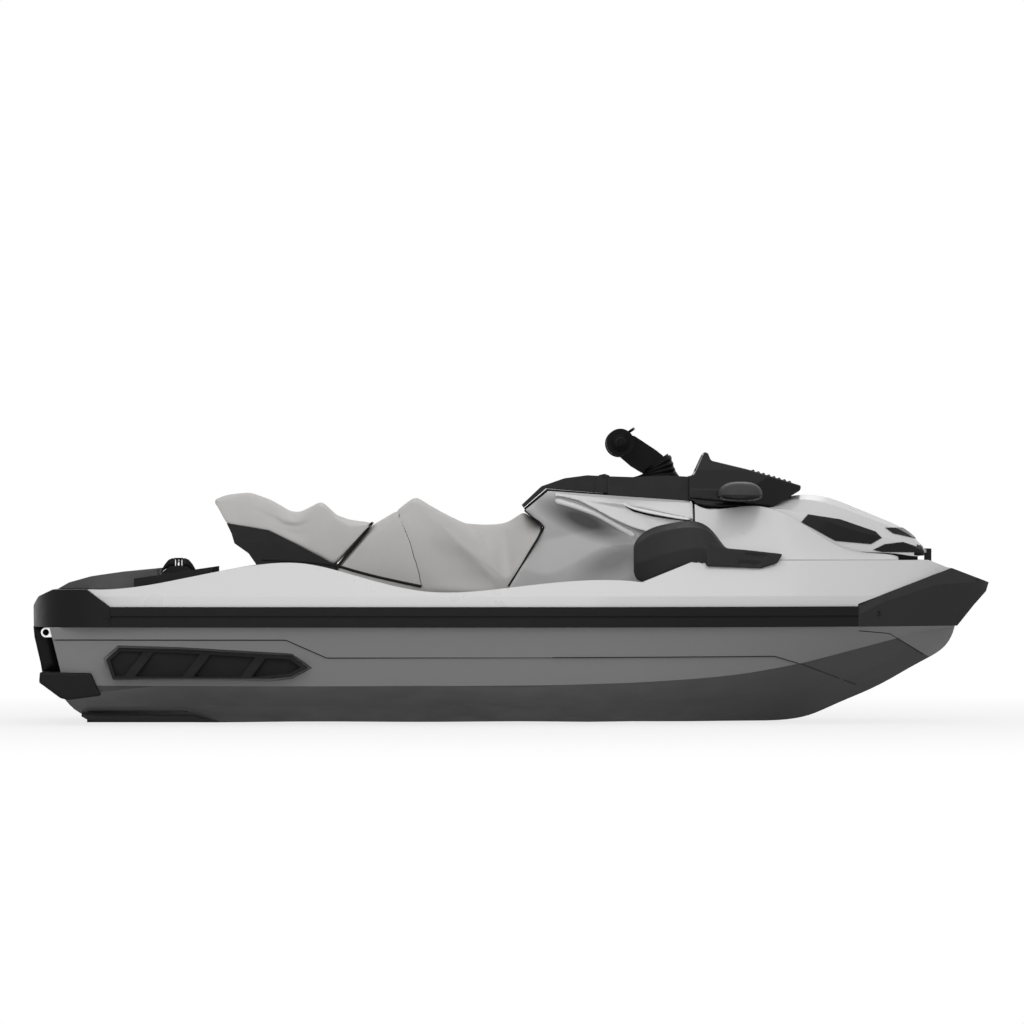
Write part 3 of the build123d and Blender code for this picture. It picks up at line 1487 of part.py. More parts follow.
BUCKET_R, BUCKET_WALL = 205, 6
BUCKET_LOW, BUCKET_HIGH = 20, 64  # stowed, in degrees above the jet
BUCKET_ROOT = [
    # x, z
    (BUCKET_X - 14, PUMP_Z - 16),
    (BUCKET_X + 16, PUMP_Z - 8),
    (BUCKET_X + 12, PUMP_Z + 16),
]
with BuildPart() as bucket:
    with BuildSketch(Plane.XZ):
        with BuildLine():
            low, high = radians(BUCKET_LOW), radians(BUCKET_HIGH)
            outer_r = BUCKET_R + BUCKET_WALL
            low_end = (BUCKET_X - outer_r * cos(low), PUMP_Z + outer_r * sin(low))
            high_end = (BUCKET_X - outer_r * cos(high), PUMP_Z + outer_r * sin(high))
            Polyline(low_end, *BUCKET_ROOT, high_end)
            RadiusArc(low_end, high_end, outer_r)
        make_face()
    extrude(amount=CHEEK_OUTER_Y, both=True)
    with BuildSketch(Plane.XZ):
        with Locations((BUCKET_X, PUMP_Z)):
            Circle(BUCKET_R)
    extrude(amount=CHEEK_INNER_Y, both=True, mode=Mode.SUBTRACT)
    with Locations((BUCKET_X, 0, PUMP_Z)):
        Cylinder(TRUNNION_R + FIT, 2 * CHEEK_OUTER_Y, rotation=(90, 0, 0), mode=Mode.SUBTRACT)
save(bucket, "reverse_bucket")

# Ride plate under the pump and grate across the intake
RIDE_PLATE_REAR_X = -1536
RIDE_PLATE_Z, RIDE_PLATE_THICK = -250, 12
with BuildPart() as ride_plate:
    with BuildSketch(Plane.XY.offset(RIDE_PLATE_Z)):
        with Locations(((RIDE_PLATE_REAR_X + PUMP_FRONT_X - FIT) / 2, 0)):
            Rectangle(PUMP_FRONT_X - FIT - RIDE_PLATE_REAR_X, 2 * (TUNNEL_HALF - FIT))
    extrude(amount=RIDE_PLATE_THICK)
save(ride_plate, "ride_plate")

GRATE_REAR_X, GRATE_FRONT_X = PUMP_FRONT_X + FIT, -790
GRATE_BARS = 4
GRATE_BAR = 10
with BuildPart() as grate:
    grate_half = IMPELLER_R - FIT
    with BuildSketch(Plane.XY.offset(RIDE_PLATE_Z)):
        for x in (GRATE_REAR_X + GRATE_BAR, GRATE_FRONT_X - GRATE_BAR):
            with Locations((x, 0)):
                Rectangle(2 * GRATE_BAR, 2 * grate_half)
        with Locations(((GRATE_REAR_X + GRATE_FRONT_X) / 2, 0)):
            with GridLocations(1, 2 * grate_half / (GRATE_BARS + 1), 1, GRATE_BARS):
                Rectangle(GRATE_FRONT_X - GRATE_REAR_X, GRATE_BAR)
    extrude(amount=RIDE_PLATE_THICK)
save(grate, "intake_grate")

# Boarding step: a frame that stands folded up behind the transom
STEP_X, STEP_Z = -1652, -60
STEP_TREAD_X, STEP_TREAD_Z = -1696, 74
STEP_ARM_Y, STEP_ARM_R = 214, 11
STEP_PIN_R = 8
STEP_BAR_WIDTH, STEP_BAR_HEIGHT, STEP_BAR_ROUND = 34, 30, 8
STEP_BITE = 2  # the tread is let into the arms
STEP_ARM_SIDE = [
    # x, z
    (STEP_X + 14, STEP_Z - 14),
    (STEP_X - 16, STEP_Z - 12),
    (STEP_TREAD_X - 14, STEP_TREAD_Z + 10),
    (STEP_TREAD_X + 14, STEP_TREAD_Z + 10),
]
with BuildPart() as step:
    for side in (-1, 1):
        with BuildSketch(Plane.XZ.offset(-side * STEP_ARM_Y)):
            with BuildLine():
                Polyline(*STEP_ARM_SIDE, close=True)
            make_face()
        extrude(amount=STEP_ARM_R, both=True)
        with Locations((STEP_X, side * STEP_ARM_Y, STEP_Z)):
            Cylinder(STEP_PIN_R + FIT, 4 * STEP_ARM_R, rotation=(90, 0, 0), mode=Mode.SUBTRACT)
    with BuildSketch(Plane.XZ):
        with Locations((STEP_TREAD_X, STEP_TREAD_Z)):
            RectangleRounded(STEP_BAR_WIDTH, STEP_BAR_HEIGHT, STEP_BAR_ROUND)
    extrude(amount=STEP_ARM_Y - STEP_ARM_R + STEP_BITE, both=True)
save(step, "boarding_step")

# Brackets on the transom that carry the boarding step on pins
BRACKET_LENGTH = 12
BRACKET_Y = STEP_ARM_Y + STEP_ARM_R + RUN + BRACKET_LENGTH / 2
STEP_BRACKET_SIDE = [
    # x, z
    (STEP_X - 14, STEP_Z - 14),
    (STEP_X - 14, STEP_Z + 14),
    (-1590, STEP_Z + 30),
    (-1590, STEP_Z - 30),
]
with BuildPart() as step_bracket:
    for side in (-1, 1):
        with BuildSketch(Plane.XZ.offset(side * BRACKET_Y)):
            with BuildLine():
                Polyline(*STEP_BRACKET_SIDE, close=True)
            make_face()
        extrude(amount=BRACKET_LENGTH / 2, both=True)
        pin_inner, pin_outer = STEP_ARM_Y - STEP_ARM_R - RUN, BRACKET_Y + BRACKET_LENGTH / 2
        with Locations((STEP_X, side * (pin_inner + pin_outer) / 2, STEP_Z)):
            Cylinder(STEP_PIN_R, pin_outer - pin_inner, rotation=(90, 0, 0))
    add(hull.part, mode=Mode.SUBTRACT)
save(step_bracket, "step_brackets")

# Eyes on the transom, tow hook and anchor tracks on the rear deck
EYE_X, EYE_Y, EYE_Z = -1669, 430, 78
EYE_R, EYE_HOLE_R, EYE_THICK = 18, 11, 10
with BuildPart() as eye:
    with BuildSketch(Plane.XZ.offset(-EYE_Y)):
        with BuildLine():
            Polyline(
                (EYE_X, EYE_Z - EYE_R),
                (TRANSOM[0][0] + EYE_R, EYE_Z - EYE_R),
                (TRANSOM[0][0] + EYE_R, EYE_Z + EYE_R),
                (EYE_X, EYE_Z + EYE_R),
                close=True,
            )
        make_face()
        with Locations((EYE_X, EYE_Z)):
            Circle(EYE_R)
            Circle(EYE_HOLE_R, mode=Mode.SUBTRACT)
    extrude(amount=EYE_THICK / 2, both=True)
    add(hull.part, mode=Mode.SUBTRACT)
save_twins(eye, "stern_eyes")

HOOK_BASE_Z, HOOK_TOP_HALF = 312, 30
HOOK_POST_R, HOOK_POST_Z = 9, 336
HOOK_CAP_R, HOOK_CAP_THICK = 17, 6
HOOK_BITE = 4  # the post is let into its base
HOOK_SIDE = [
    # x, z
    (HOOK_X - HOOK_HALF, STERN_TOP_Z),
    (HOOK_X - HOOK_HALF, 288),
    (HOOK_X - HOOK_TOP_HALF, HOOK_BASE_Z),
    (HOOK_X + HOOK_TOP_HALF, HOOK_BASE_Z),
    (HOOK_X + HOOK_HALF, 292),
    (HOOK_X + HOOK_HALF, STERN_TOP_Z),
]
with BuildPart() as hook:
    with BuildSketch(Plane.XZ):
        with BuildLine():
            Polyline(*HOOK_SIDE, close=True)
        make_face()
    extrude(amount=HOOK_HALF, both=True)
    for low_z, top_z, radius in (
        (HOOK_BASE_Z - HOOK_BITE, HOOK_POST_Z, HOOK_POST_R),
        (HOOK_POST_Z, HOOK_POST_Z + HOOK_CAP_THICK, HOOK_CAP_R),
    ):
        with BuildSketch(Plane.XY.offset(low_z)):
            with Locations((HOOK_X, 0)):
                Circle(radius)
        extrude(amount=top_z - low_z)
    add(deck.part, mode=Mode.SUBTRACT)
save(hook, "tow_hook")

TRACK_INNER_Y, TRACK_OUTER_Y = 392, 424
TRACK_TOP = [
    # x, z
    (-1355, 270),
    (-1080, 310),
]
TRACK_DEEP = 40
with BuildPart() as track:
    with BuildSketch(Plane.XZ.offset(-TRACK_INNER_Y)):
        with BuildLine():
            foot = [(x, z - TRACK_DEEP) for x, z in reversed(TRACK_TOP)]
            Polyline(*TRACK_TOP, *foot, close=True)
        make_face()
    extrude(amount=TRACK_INNER_Y - TRACK_OUTER_Y)
    add(deck.part, mode=Mode.SUBTRACT)
save_twins(track, "anchor_tracks")
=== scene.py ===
"""Studio view of the personal watercraft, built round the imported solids. Metres, row frame."""

import json
import math

import bmesh
import bpy
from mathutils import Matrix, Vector
from mathutils.bvhtree import BVHTree


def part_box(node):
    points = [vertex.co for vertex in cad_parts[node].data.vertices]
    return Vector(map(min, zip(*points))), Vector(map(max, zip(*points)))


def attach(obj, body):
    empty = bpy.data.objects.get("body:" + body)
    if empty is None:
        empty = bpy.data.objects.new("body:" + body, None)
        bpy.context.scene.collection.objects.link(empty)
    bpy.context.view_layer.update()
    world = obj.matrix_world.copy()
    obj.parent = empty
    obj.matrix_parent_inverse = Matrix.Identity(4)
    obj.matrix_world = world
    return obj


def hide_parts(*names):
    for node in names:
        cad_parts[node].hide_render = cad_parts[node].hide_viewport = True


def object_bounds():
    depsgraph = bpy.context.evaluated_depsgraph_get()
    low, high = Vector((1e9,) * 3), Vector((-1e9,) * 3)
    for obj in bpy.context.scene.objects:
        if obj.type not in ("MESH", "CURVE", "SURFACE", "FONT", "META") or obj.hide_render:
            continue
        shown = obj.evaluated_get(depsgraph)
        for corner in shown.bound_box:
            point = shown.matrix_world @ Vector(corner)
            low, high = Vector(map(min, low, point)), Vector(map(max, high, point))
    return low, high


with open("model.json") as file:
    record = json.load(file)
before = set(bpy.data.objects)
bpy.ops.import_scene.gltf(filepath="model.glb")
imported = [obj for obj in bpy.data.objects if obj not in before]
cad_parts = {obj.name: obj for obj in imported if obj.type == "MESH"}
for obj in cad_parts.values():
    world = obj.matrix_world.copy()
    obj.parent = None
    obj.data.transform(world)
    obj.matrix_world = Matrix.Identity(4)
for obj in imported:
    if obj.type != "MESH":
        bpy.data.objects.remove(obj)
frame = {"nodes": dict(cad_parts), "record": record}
CAD_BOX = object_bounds()
NODES = frame["nodes"]

# Camera: level, square to the starboard side, from far away
VIEW_X, VIEW_Z = -0.004, 0.508
VIEW_WIDTH = 3.712
CAMERA_FAR, CLIP_END = 30.0, 200.0
SENSOR = 36.0
FLOOR_Z = CAD_BOX[0][2]  # the keel just meets the floor
MM = 0.001
SIDES = (("port", 1), ("starboard", -1))


# Materials

EDGE_RADIUS = 0.0035  # moulded edges look rounded by this much


class Shader:
    """A material's node tree with short ways to add what most finishes need."""

    def __init__(self, name):
        self.material = bpy.data.materials.new(name)
        self.material.use_nodes = True
        self.tree = self.material.node_tree
        self.bsdf = self.tree.nodes["Principled BSDF"]
        self.coords = self.add("ShaderNodeTexCoord").outputs["Object"]
        rounded = self.add("ShaderNodeBevel", samples=4)
        rounded.inputs["Radius"].default_value = EDGE_RADIUS
        self.normal = rounded.outputs["Normal"]
        self.link(self.normal, self.bsdf.inputs["Normal"])

    def add(self, kind, **values):
        node = self.tree.nodes.new(kind)
        for key, value in values.items():
            setattr(node, key, value)
        return node

    def link(self, start, end):
        self.tree.links.new(start, end)

    def scaled(self, scale):
        """Object coordinates stretched by a factor for each axis."""
        node = self.add("ShaderNodeMapping")
        node.inputs["Scale"].default_value = scale
        self.link(self.coords, node.inputs["Vector"])
        return node.outputs["Vector"]

    def noise(self, scale, detail=3.0, coords=None):
        node = self.add("ShaderNodeTexNoise")
        node.inputs["Scale"].default_value = scale
        node.inputs["Detail"].default_value = detail
        self.link(coords or self.coords, node.inputs["Vector"])
        return node.outputs["Fac"]

    def cells(self, scale):
        node = self.add("ShaderNodeTexVoronoi")
        node.inputs["Scale"].default_value = scale
        self.link(self.coords, node.inputs["Vector"])
        return node.outputs["Distance"]

    def ramp(self, value, low, high, out_low, out_high):
        node = self.add("ShaderNodeMapRange")
        for key, number in (("From Min", low), ("From Max", high), ("To Min", out_low), ("To Max", out_high)):
            node.inputs[key].default_value = number
        self.link(value, node.inputs["Value"])
        return node.outputs["Result"]

    def mix(self, share, first, second):
        """Colour between two colours or sockets."""
        node = self.add("ShaderNodeMix", data_type="RGBA")
        self.link(share, node.inputs["Factor"])
        for socket, value in ((node.inputs[6], first), (node.inputs[7], second)):
            if isinstance(value, tuple):
                socket.default_value = (*value, 1.0)
            else:
                self.link(value, socket)
        return node.outputs[2]

    def math(self, kind, first, second):
        node = self.add("ShaderNodeMath", operation=kind)
        for socket, value in zip(node.inputs, (first, second)):
            if isinstance(value, (int, float)):
                socket.default_value = value
            else:
                self.link(value, socket)
        return node.outputs[0]

    def colour(self, socket):
        self.link(socket, self.bsdf.inputs["Base Color"])

    def rough(self, socket):
        self.link(socket, self.bsdf.inputs["Roughness"])

    def bump(self, height, strength, distance):
        node = self.add("ShaderNodeBump")
        node.inputs["Strength"].default_value = strength
        node.inputs["Distance"].default_value = distance
        self.link(height, node.inputs["Height"])
        self.link(self.normal, node.inputs["Normal"])
        self.normal = node.outputs["Normal"]
        self.link(self.normal, self.bsdf.inputs["Normal"])

    def set(self, **values):
        for key, value in values.items():
            self.bsdf.inputs[key.replace("_", " ")].default_value = value


def grey(value, warm=0.0):
    """Neutral colour, or one pulled a little to the warm side."""
    return (value * (1 + warm), value, value * (1 - warm))


def varied(shader, colour, spread, scale):
    """Base colour with a soft, large-scale variation."""
    dark = tuple(channel * (1 - spread) for channel in colour)
    light = tuple(min(channel * (1 + spread), 1.0) for channel in colour)
    shader.colour(shader.mix(shader.noise(scale, 4.0), dark, light))


def gelcoat(name, colour, rough, coat):
    """Sprayed metallic gelcoat: fine flake, faint ripple, clear coat."""
    shader = Shader(name)
    varied(shader, colour, 0.012, 3.0)
    shader.rough(shader.ramp(shader.noise(9.0), 0.3, 0.7, rough - 0.03, rough + 0.04))
    shader.bump(shader.noise(900.0, 1.0), 0.03, 0.0004)
    shader.bump(shader.noise(14.0, 2.0), 0.02, 0.002)
    shader.set(Coat_Weight=coat, Coat_Roughness=0.06, Metallic=0.05, Specular_IOR_Level=0.3)
    return shader


def moulded(name, colour, rough, grain, depth, coat=0.0, shine=0.12):
    """Moulded plastic with a pebble grain."""
    shader = Shader(name)
    varied(shader, colour, 0.08, 11.0)
    shader.rough(shader.ramp(shader.noise(25.0), 0.3, 0.7, rough - 0.05, rough + 0.06))
    shader.bump(shader.cells(grain), 0.35, depth)
    shader.set(Coat_Weight=coat, Coat_Roughness=0.08, Specular_IOR_Level=shine)
    return shader


def metal(name, colour, rough, brushed):
    """Bare metal with fine lines along the part."""
    shader = Shader(name)
    varied(shader, colour, 0.06, 18.0)
    lines = shader.noise(60.0, 5.0, shader.scaled(brushed))
    shader.rough(shader.ramp(lines, 0.3, 0.7, rough - 0.07, rough + 0.09))
    shader.bump(lines, 0.12, 0.0004)
    shader.set(Metallic=1.0)
    return shader


def vinyl(name, colour):
    """Marine vinyl: leather grain, soft sheen, faint mottling."""
    shader = Shader(name)
    varied(shader, colour, 0.05, 14.0)
    shader.rough(shader.ramp(shader.noise(40.0), 0.3, 0.7, 0.5, 0.62))
    shader.bump(shader.cells(420.0), 0.35, 0.0007)
    shader.bump(shader.noise(70.0, 4.0), 0.08, 0.0012)
    shader.set(Sheen_Weight=0.1, Sheen_Roughness=0.5, Specular_IOR_Level=0.25)
    return shader


def foam_mat(name, colour):
    """Foam deck mat with grooves across."""
    shader = Shader(name)
    varied(shader, colour, 0.12, 20.0)
    wave = shader.add("ShaderNodeTexWave", wave_type="BANDS", bands_direction="Y")
    wave.inputs["Scale"].default_value = 9.0
    shader.link(shader.coords, wave.inputs["Vector"])
    grooves = shader.ramp(wave.outputs["Fac"], 0.0, 0.25, 0.0, 1.0)
    shader.bump(grooves, 0.6, 0.002)
    shader.bump(shader.noise(500.0, 2.0), 0.3, 0.0006)
    shader.set(Roughness=0.8, Specular_IOR_Level=0.12)
    return shader


# Hollows of the console, darkened with painted shade
PAINTED_HOLLOW_SHADES = [
    # x, z, tilt, half-length, half-height, share of the colour left
    (0.255, 0.478, 23.0, 0.18, 0.056, 0.14),
    (0.36, 0.335, -25.0, 0.16, 0.06, 0.55),
]


def console_with_painted_shade(name, colour):
    """Moulded console with painted shade that darkens softly into its knee hollows."""
    shader = moulded(name, colour, 0.4, 900.0, 0.0003, shine=0.3)
    tone = shader.ramp(shader.noise(11.0, 4.0), 0.0, 1.0, 0.96, 1.04)
    # Painted shade: each hollow multiplies the colour down to its share left at the hollow's centre
    for x, z, tilt, length, height, left in PAINTED_HOLLOW_SHADES:
        local = shader.add("ShaderNodeMapping", vector_type="TEXTURE")
        local.inputs["Location"].default_value = (x, 0.0, z)
        local.inputs["Rotation"].default_value = (0.0, math.radians(tilt), 0.0)
        local.inputs["Scale"].default_value = (length, 10.0, height)
        shader.link(shader.coords, local.inputs["Vector"])
        reach = shader.add("ShaderNodeVectorMath", operation="LENGTH")
        shader.link(local.outputs["Vector"], reach.inputs[0])
        tone = shader.math("MULTIPLY", tone, shader.ramp(reach.outputs["Value"], 0.3, 1.15, left, 1.0))
    shader.colour(shader.mix(tone, (0.0, 0.0, 0.0), colour))
    return shader


# Paint line of the hull's dark bottom: height over the length, both as shares of these ranges
PAINT_X = (-1.7, 1.7)
PAINT_Z = (-0.15, 0.15)
PAINT_LINE = [
    # x, z
    (-1.7, -0.109),
    (0.0, -0.11),
    (0.3, -0.105),
    (0.53, -0.095),
    (0.76, -0.078),
    (0.935, -0.052),
    (1.05, -0.03),
    (1.387, 0.054),
    (1.51, -0.018),
    (1.7, -0.12),
]
PAINT_BEND = 1.0  # the line runs straight from point to point beyond this x


def hull_paint(name, side, bottom):
    """Hull gelcoat in two greys, parted along the chine."""
    shader = gelcoat(name, side, 0.5, 0.0)
    shader.set(Specular_IOR_Level=0.08)
    parts = shader.add("ShaderNodeSeparateXYZ")
    shader.link(shader.coords, parts.inputs[0])
    along = shader.ramp(parts.outputs["X"], *PAINT_X, 0.0, 1.0)
    curve = shader.add("ShaderNodeFloatCurve")
    points = curve.mapping.curves[0].points
    shares = [((x - PAINT_X[0]) / (PAINT_X[1] - PAINT_X[0]),
               (z - PAINT_Z[0]) / (PAINT_Z[1] - PAINT_Z[0])) for x, z in PAINT_LINE]
    points[0].location, points[1].location = shares[0], shares[-1]
    for share in shares[1:-1]:
        points.new(*share)
    for point, (x, _) in zip(points, PAINT_LINE):
        point.handle_type = "VECTOR" if x > PAINT_BEND else "AUTO"
    curve.mapping.update()
    shader.link(along, curve.inputs["Value"])
    height = shader.ramp(parts.outputs["Z"], *PAINT_Z, 0.0, 1.0)
    above = shader.math("SUBTRACT", height, curve.outputs["Value"])
    edge = shader.ramp(above, -0.003, 0.003, 0.0, 1.0)
    mottled = shader.noise(5.0, 4.0)
    light = shader.mix(mottled, tuple(c * 0.985 for c in side), tuple(c * 1.015 for c in side))
    dark = shader.mix(mottled, tuple(c * 0.97 for c in bottom), tuple(c * 1.03 for c in bottom))
    shader.colour(shader.mix(edge, dark, light))
    return shader


SLOT_SHADERS = {
    "deck_silver": gelcoat("deck_silver", grey(0.64), 0.3, 0.3),
    "hull_grey": hull_paint("hull_grey", grey(0.235), grey(0.082)),
    "console_grey": console_with_painted_shade("console_grey", grey(0.46)),
    "trim_black": moulded("trim_black", grey(0.008), 0.42, 700.0, 0.0005),
    "bumper_grey": moulded("bumper_grey", grey(0.027), 0.5, 600.0, 0.0006),
    "gloss_black": moulded("gloss_black", grey(0.006), 0.25, 1200.0, 0.0001, coat=0.1),
    "display": moulded("display", grey(0.006), 0.1, 1500.0, 0.00005, coat=1.0),
    "mat": foam_mat("mat", grey(0.1)),
    "vinyl_grey": vinyl("vinyl_grey", grey(0.48, 0.02)),
    "seat_black": moulded("seat_black", grey(0.014), 0.5, 600.0, 0.0005),
    "tub_black": moulded("tub_black", grey(0.012), 0.55, 500.0, 0.0005),
    "control_black": moulded("control_black", grey(0.004), 0.4, 800.0, 0.0003, shine=0.08),
    "grip_rubber": moulded("grip_rubber", grey(0.006), 0.65, 450.0, 0.0006, shine=0.08),
    "alloy": metal("alloy", grey(0.5), 0.42, (1.0, 12.0, 12.0)),
    "steel": metal("steel", grey(0.62), 0.24, (1.0, 20.0, 20.0)),
    "hook_black": moulded("hook_black", grey(0.009), 0.45, 700.0, 0.0005),
    "plate_black": moulded("plate_black", grey(0.014), 0.5, 500.0, 0.0005),
    "engine_grey": metal("engine_grey", grey(0.22), 0.5, (6.0, 6.0, 6.0)),
}
# Lighter gelcoat of the panel fins: a painted highlight on their upturned faces
FIN_PAINTED_HIGHLIGHT = gelcoat("fin_bright", grey(0.82), 0.3, 0.3).material
MIRROR_CAP = moulded("mirror_cap", grey(0.05), 0.45, 1200.0, 0.0001).material


def dress_nodes():
    """Gives every solid the finish of its slot."""
    for entry in frame["record"]["subparts"]:
        node = NODES[entry["node"]]
        material = SLOT_SHADERS[entry["material_slot"]].material
        for slot in node.material_slots:
            slot.material = material


# Moulded nodes whose edges are rounded: voxel size and passes of smoothing
SOFTENED = {
    "console": (5, 6), "side_panel_port": (4, 4), "side_panel_starboard": (4, 4),
    "fairing_port": (4, 5), "fairing_starboard": (4, 5),
    "deflector_port": (4, 4), "deflector_starboard": (4, 4),
    "visor": (4, 4), "stern_guards": (4, 4),
}


def soften_nodes():
    """Rounds the edges of moulded pieces with modifiers; their solids stay as they are."""
    for name, (voxel, passes) in SOFTENED.items():
        remesh = NODES[name].modifiers.new("even_mesh", "REMESH")
        remesh.mode, remesh.voxel_size, remesh.use_smooth_shade = "VOXEL", voxel * MM, True
        smooth = NODES[name].modifiers.new("soft_edges", "SMOOTH")
        smooth.factor, smooth.iterations = 0.5, passes


# Helpers for added pieces

RAY_START = 2.0  # search lines start this far out, clear of the craft


def between(table, column, x):
    """Value of a column at x, on straight lines between the table's rows."""
    for low, high in zip(table, table[1:]):
        if x <= high[0]:
            break
    share = min(max((x - low[0]) / (high[0] - low[0]), 0.0), 1.0)
    return low[column] + share * (high[column] - low[column])


def rounded_between(table, column, x, reach):
    """The same, with corners rounded over a reach to either side."""
    steps = (-1.0, -0.5, 0.0, 0.5, 1.0)
    return sum(between(table, column, x + step * reach) for step in steps) / len(steps)


def put(name, mesh, body, slot, material=None):
    """Adds a mesh as a piece that rides on a body and takes a slot's finish."""
    piece = bpy.data.objects.new(name, mesh)
    bpy.context.scene.collection.objects.link(piece)
    mesh.materials.append(material or SLOT_SHADERS[slot].material)
    for face in mesh.polygons:
        face.use_smooth = True
    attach(piece, body)
    return piece


def skin(rings, closed=False):
    """Mesh through rings of equal length; the ends are capped unless the rings close on themselves."""
    form = bmesh.new()
    rows = [[form.verts.new(point) for point in ring] for ring in rings]
    pairs = list(zip(rows, rows[1:])) + ([(rows[-1], rows[0])] if closed else [])
    for low, high in pairs:
        for i in range(len(low)):
            j = (i + 1) % len(low)
            form.faces.new((low[i], low[j], high[j], high[i]))
    if not closed:
        form.faces.new(list(reversed(rows[0])))
        form.faces.new(rows[-1])
    bmesh.ops.recalc_face_normals(form, faces=form.faces)
    return form


def to_mesh(name, *forms):
    """One mesh from one or several forms."""
    whole = bmesh.new()
    for form in forms:
        part = bpy.data.meshes.new(name)
        form.to_mesh(part)
        form.free()
        whole.from_mesh(part)
        bpy.data.meshes.remove(part)
    mesh = bpy.data.meshes.new(name)
    whole.to_mesh(mesh)
    whole.free()
    return mesh


def wall(rows):
    """Form between a lower and an upper line of x and z, each row with its inner and outer y."""
    rings = []
    for low_x, low_z, top_x, top_z, inner, outer in rows:
        ring = ((low_x, inner, low_z), (low_x, outer, low_z), (top_x, outer, top_z), (top_x, inner, top_z))
        rings.append([Vector(point) * MM for point in ring])
    return skin(rings)


def both_walls(rows):
    """The same on either side of the craft."""
    return wall(rows), wall([(*row[:4], -row[4], -row[5]) for row in rows])


def tree_of(node):
    """Search tree of a node's own surface."""
    return BVHTree.FromObject(NODES[node], bpy.context.evaluated_depsgraph_get())


def half_breadth(tree, x, z, side):
    """From the centre plane to where a line across the craft first meets a surface, in millimetres."""
    start = Vector((x * MM, side * RAY_START, z * MM))
    return abs(tree.ray_cast(start, Vector((0.0, -side, 0.0)))[0].y) / MM


def turns(count):
    """Angles evenly round a circle."""
    return [2 * math.pi * k / count for k in range(count)]


def upright_ring(x, y, z, half_x, half_z, count):
    """Oval ring square to the y axis, given in millimetres."""
    return [Vector((x + half_x * math.cos(t), y, z + half_z * math.sin(t))) * MM for t in turns(count)]


def divide(piece, levels):
    """Smooths a piece with a subdivision modifier."""
    modifier = piece.modifiers.new("divide", "SUBSURF")
    modifier.levels = modifier.render_levels = levels
    return modifier


def tube(name, points, radius, body, slot):
    """Round welt or bead along a smooth line through points."""
    curve = bpy.data.curves.new(name, "CURVE")
    curve.dimensions, curve.bevel_depth, curve.bevel_resolution = "3D", radius, 3
    curve.use_fill_caps = True
    line = curve.splines.new("NURBS")
    line.points.add(len(points) - 1)
    for spot, point in zip(line.points, points):
        spot.co = (*point, 1.0)
    line.order_u, line.use_endpoint_u = 3, True
    piece = bpy.data.objects.new(name, curve)
    bpy.context.scene.collection.objects.link(piece)
    curve.materials.append(SLOT_SHADERS[slot].material)
    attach(piece, body)


# Seat cushions. Sections run from the crown over a ridge down to the foot; millimetres
SEAT_HALF = [
    # z, half-breadth
    (205, 192), (300, 196), (400, 182), (468, 164), (540, 124), (590, 66),
]
REAR_CUSHION = [
    # x, crown, ridge, foot, power of the crown's curve, hollow under the ridge
    (-1078, 552, 549, 546, 2.5, 0),
    (-1058, 563, 550, 512, 2.5, 0),
    (-1033, 571, 545, 463, 2.5, 0),
    (-953, 579, 536, 450, 2.5, 8),
    (-880, 553, 508, 437, 2.5, 12),
    (-808, 511, 474, 402, 2.2, 16),
    (-772, 508, 474, 384, 2.0, 16),
    (-735, 526, 500, 363, 1.8, 14),
    (-694, 548, 536, 342, 1.6, 8),
    (-645, 499, 488, 314, 1.4, 8),
    (-591, 480, 456, 377, 1.5, 4),
    (-516, 468, 463, 461, 2.0, 0),
]
FRONT_CUSHION = [
    (-637, 303, 292, 208, 2.5, 0),
    (-510, 461, 436, 208, 2.5, 0),
    (-489, 470, 442, 208, 2.5, 0),
    (-428, 507, 474, 208, 2.5, 0),
    (-355, 565, 548, 208, 2.0, 8),
    (-300, 534, 499, 208, 1.5, 24),
    (-246, 506, 456, 208, 1.3, 32),
    (-174, 471, 396, 208, 1.2, 28),
    (-110, 467, 340, 208, 1.2, 16),
    (-58, 469, 296, 208, 1.3, 5),
    (-36, 473, 275, 208, 1.4, 0),
    (-17, 478, 268, 243, 1.5, 0),
    (40, 511, 348, 337, 1.8, 0),
    (75, 481, 404, 395, 2.0, 0),
    (107, 455, 451, 449, 2.0, 0),
]
FRONT_SEAM = [
    # z, x of the seam that falls from behind the front cushion's peak
    (205, -324), (241, -325), (292, -333), (404, -371), (511, -422), (560, -440),
]
CUSHION_STEP = 8.0
CORNER_REACH = 11.0
UPPER_COUNT, SIDE_COUNT, UNDER_COUNT = 10, 10, 6
SEAM_REACH, SEAM_DEPTH = 4.5, 3.6
PUFF_LIMIT = 0.009
PUFF_FRAMES = 20


def seat_half(z):
    return between(SEAT_HALF, 1, z)


def cushion_half(table, x):
    """Port half of a cushion's section at x, from the crown to the foot."""
    crown, ridge, foot = (rounded_between(table, column, x, CORNER_REACH) for column in (1, 2, 3))
    power, hollow = between(table, 4, x), rounded_between(table, 5, x, CORNER_REACH)
    ridge_y = seat_half(ridge)
    half = []
    for i in range(UPPER_COUNT):
        share = i / UPPER_COUNT
        half.append((ridge_y * share, crown - (crown - ridge) * share ** power))
    for i in range(SIDE_COUNT + 1):
        share = i / SIDE_COUNT
        z = ridge + (foot - ridge) * share
        half.append((seat_half(z) - hollow * math.sin(math.pi * share), z))
    return half


def cushion_form(table):
    """Closed grid of a cushion, and which of its points are sewn down."""
    first, last = table[0][0], table[-1][0]
    count = round((last - first) / CUSHION_STEP)
    rings, sewn = [], []
    for i in range(count + 1):
        x = first + (last - first) * i / count
        half = cushion_half(table, x)
        foot_y, foot_z = half[-1]
        under = [(foot_y * (1 - 2 * k / UNDER_COUNT), foot_z) for k in range(1, UNDER_COUNT)]
        outline = [*half, *under, *[(-y, z) for y, z in reversed(half[1:])]]
        rings.append([Vector((x, y, z)) * MM for y, z in outline])
        held = {UPPER_COUNT, len(outline) - UPPER_COUNT}
        held.update(range(len(half) - 1, len(half) + UNDER_COUNT))
        ends = i in (0, count)
        sewn.extend(ends or k in held for k in range(len(outline)))
    return skin(rings), sewn


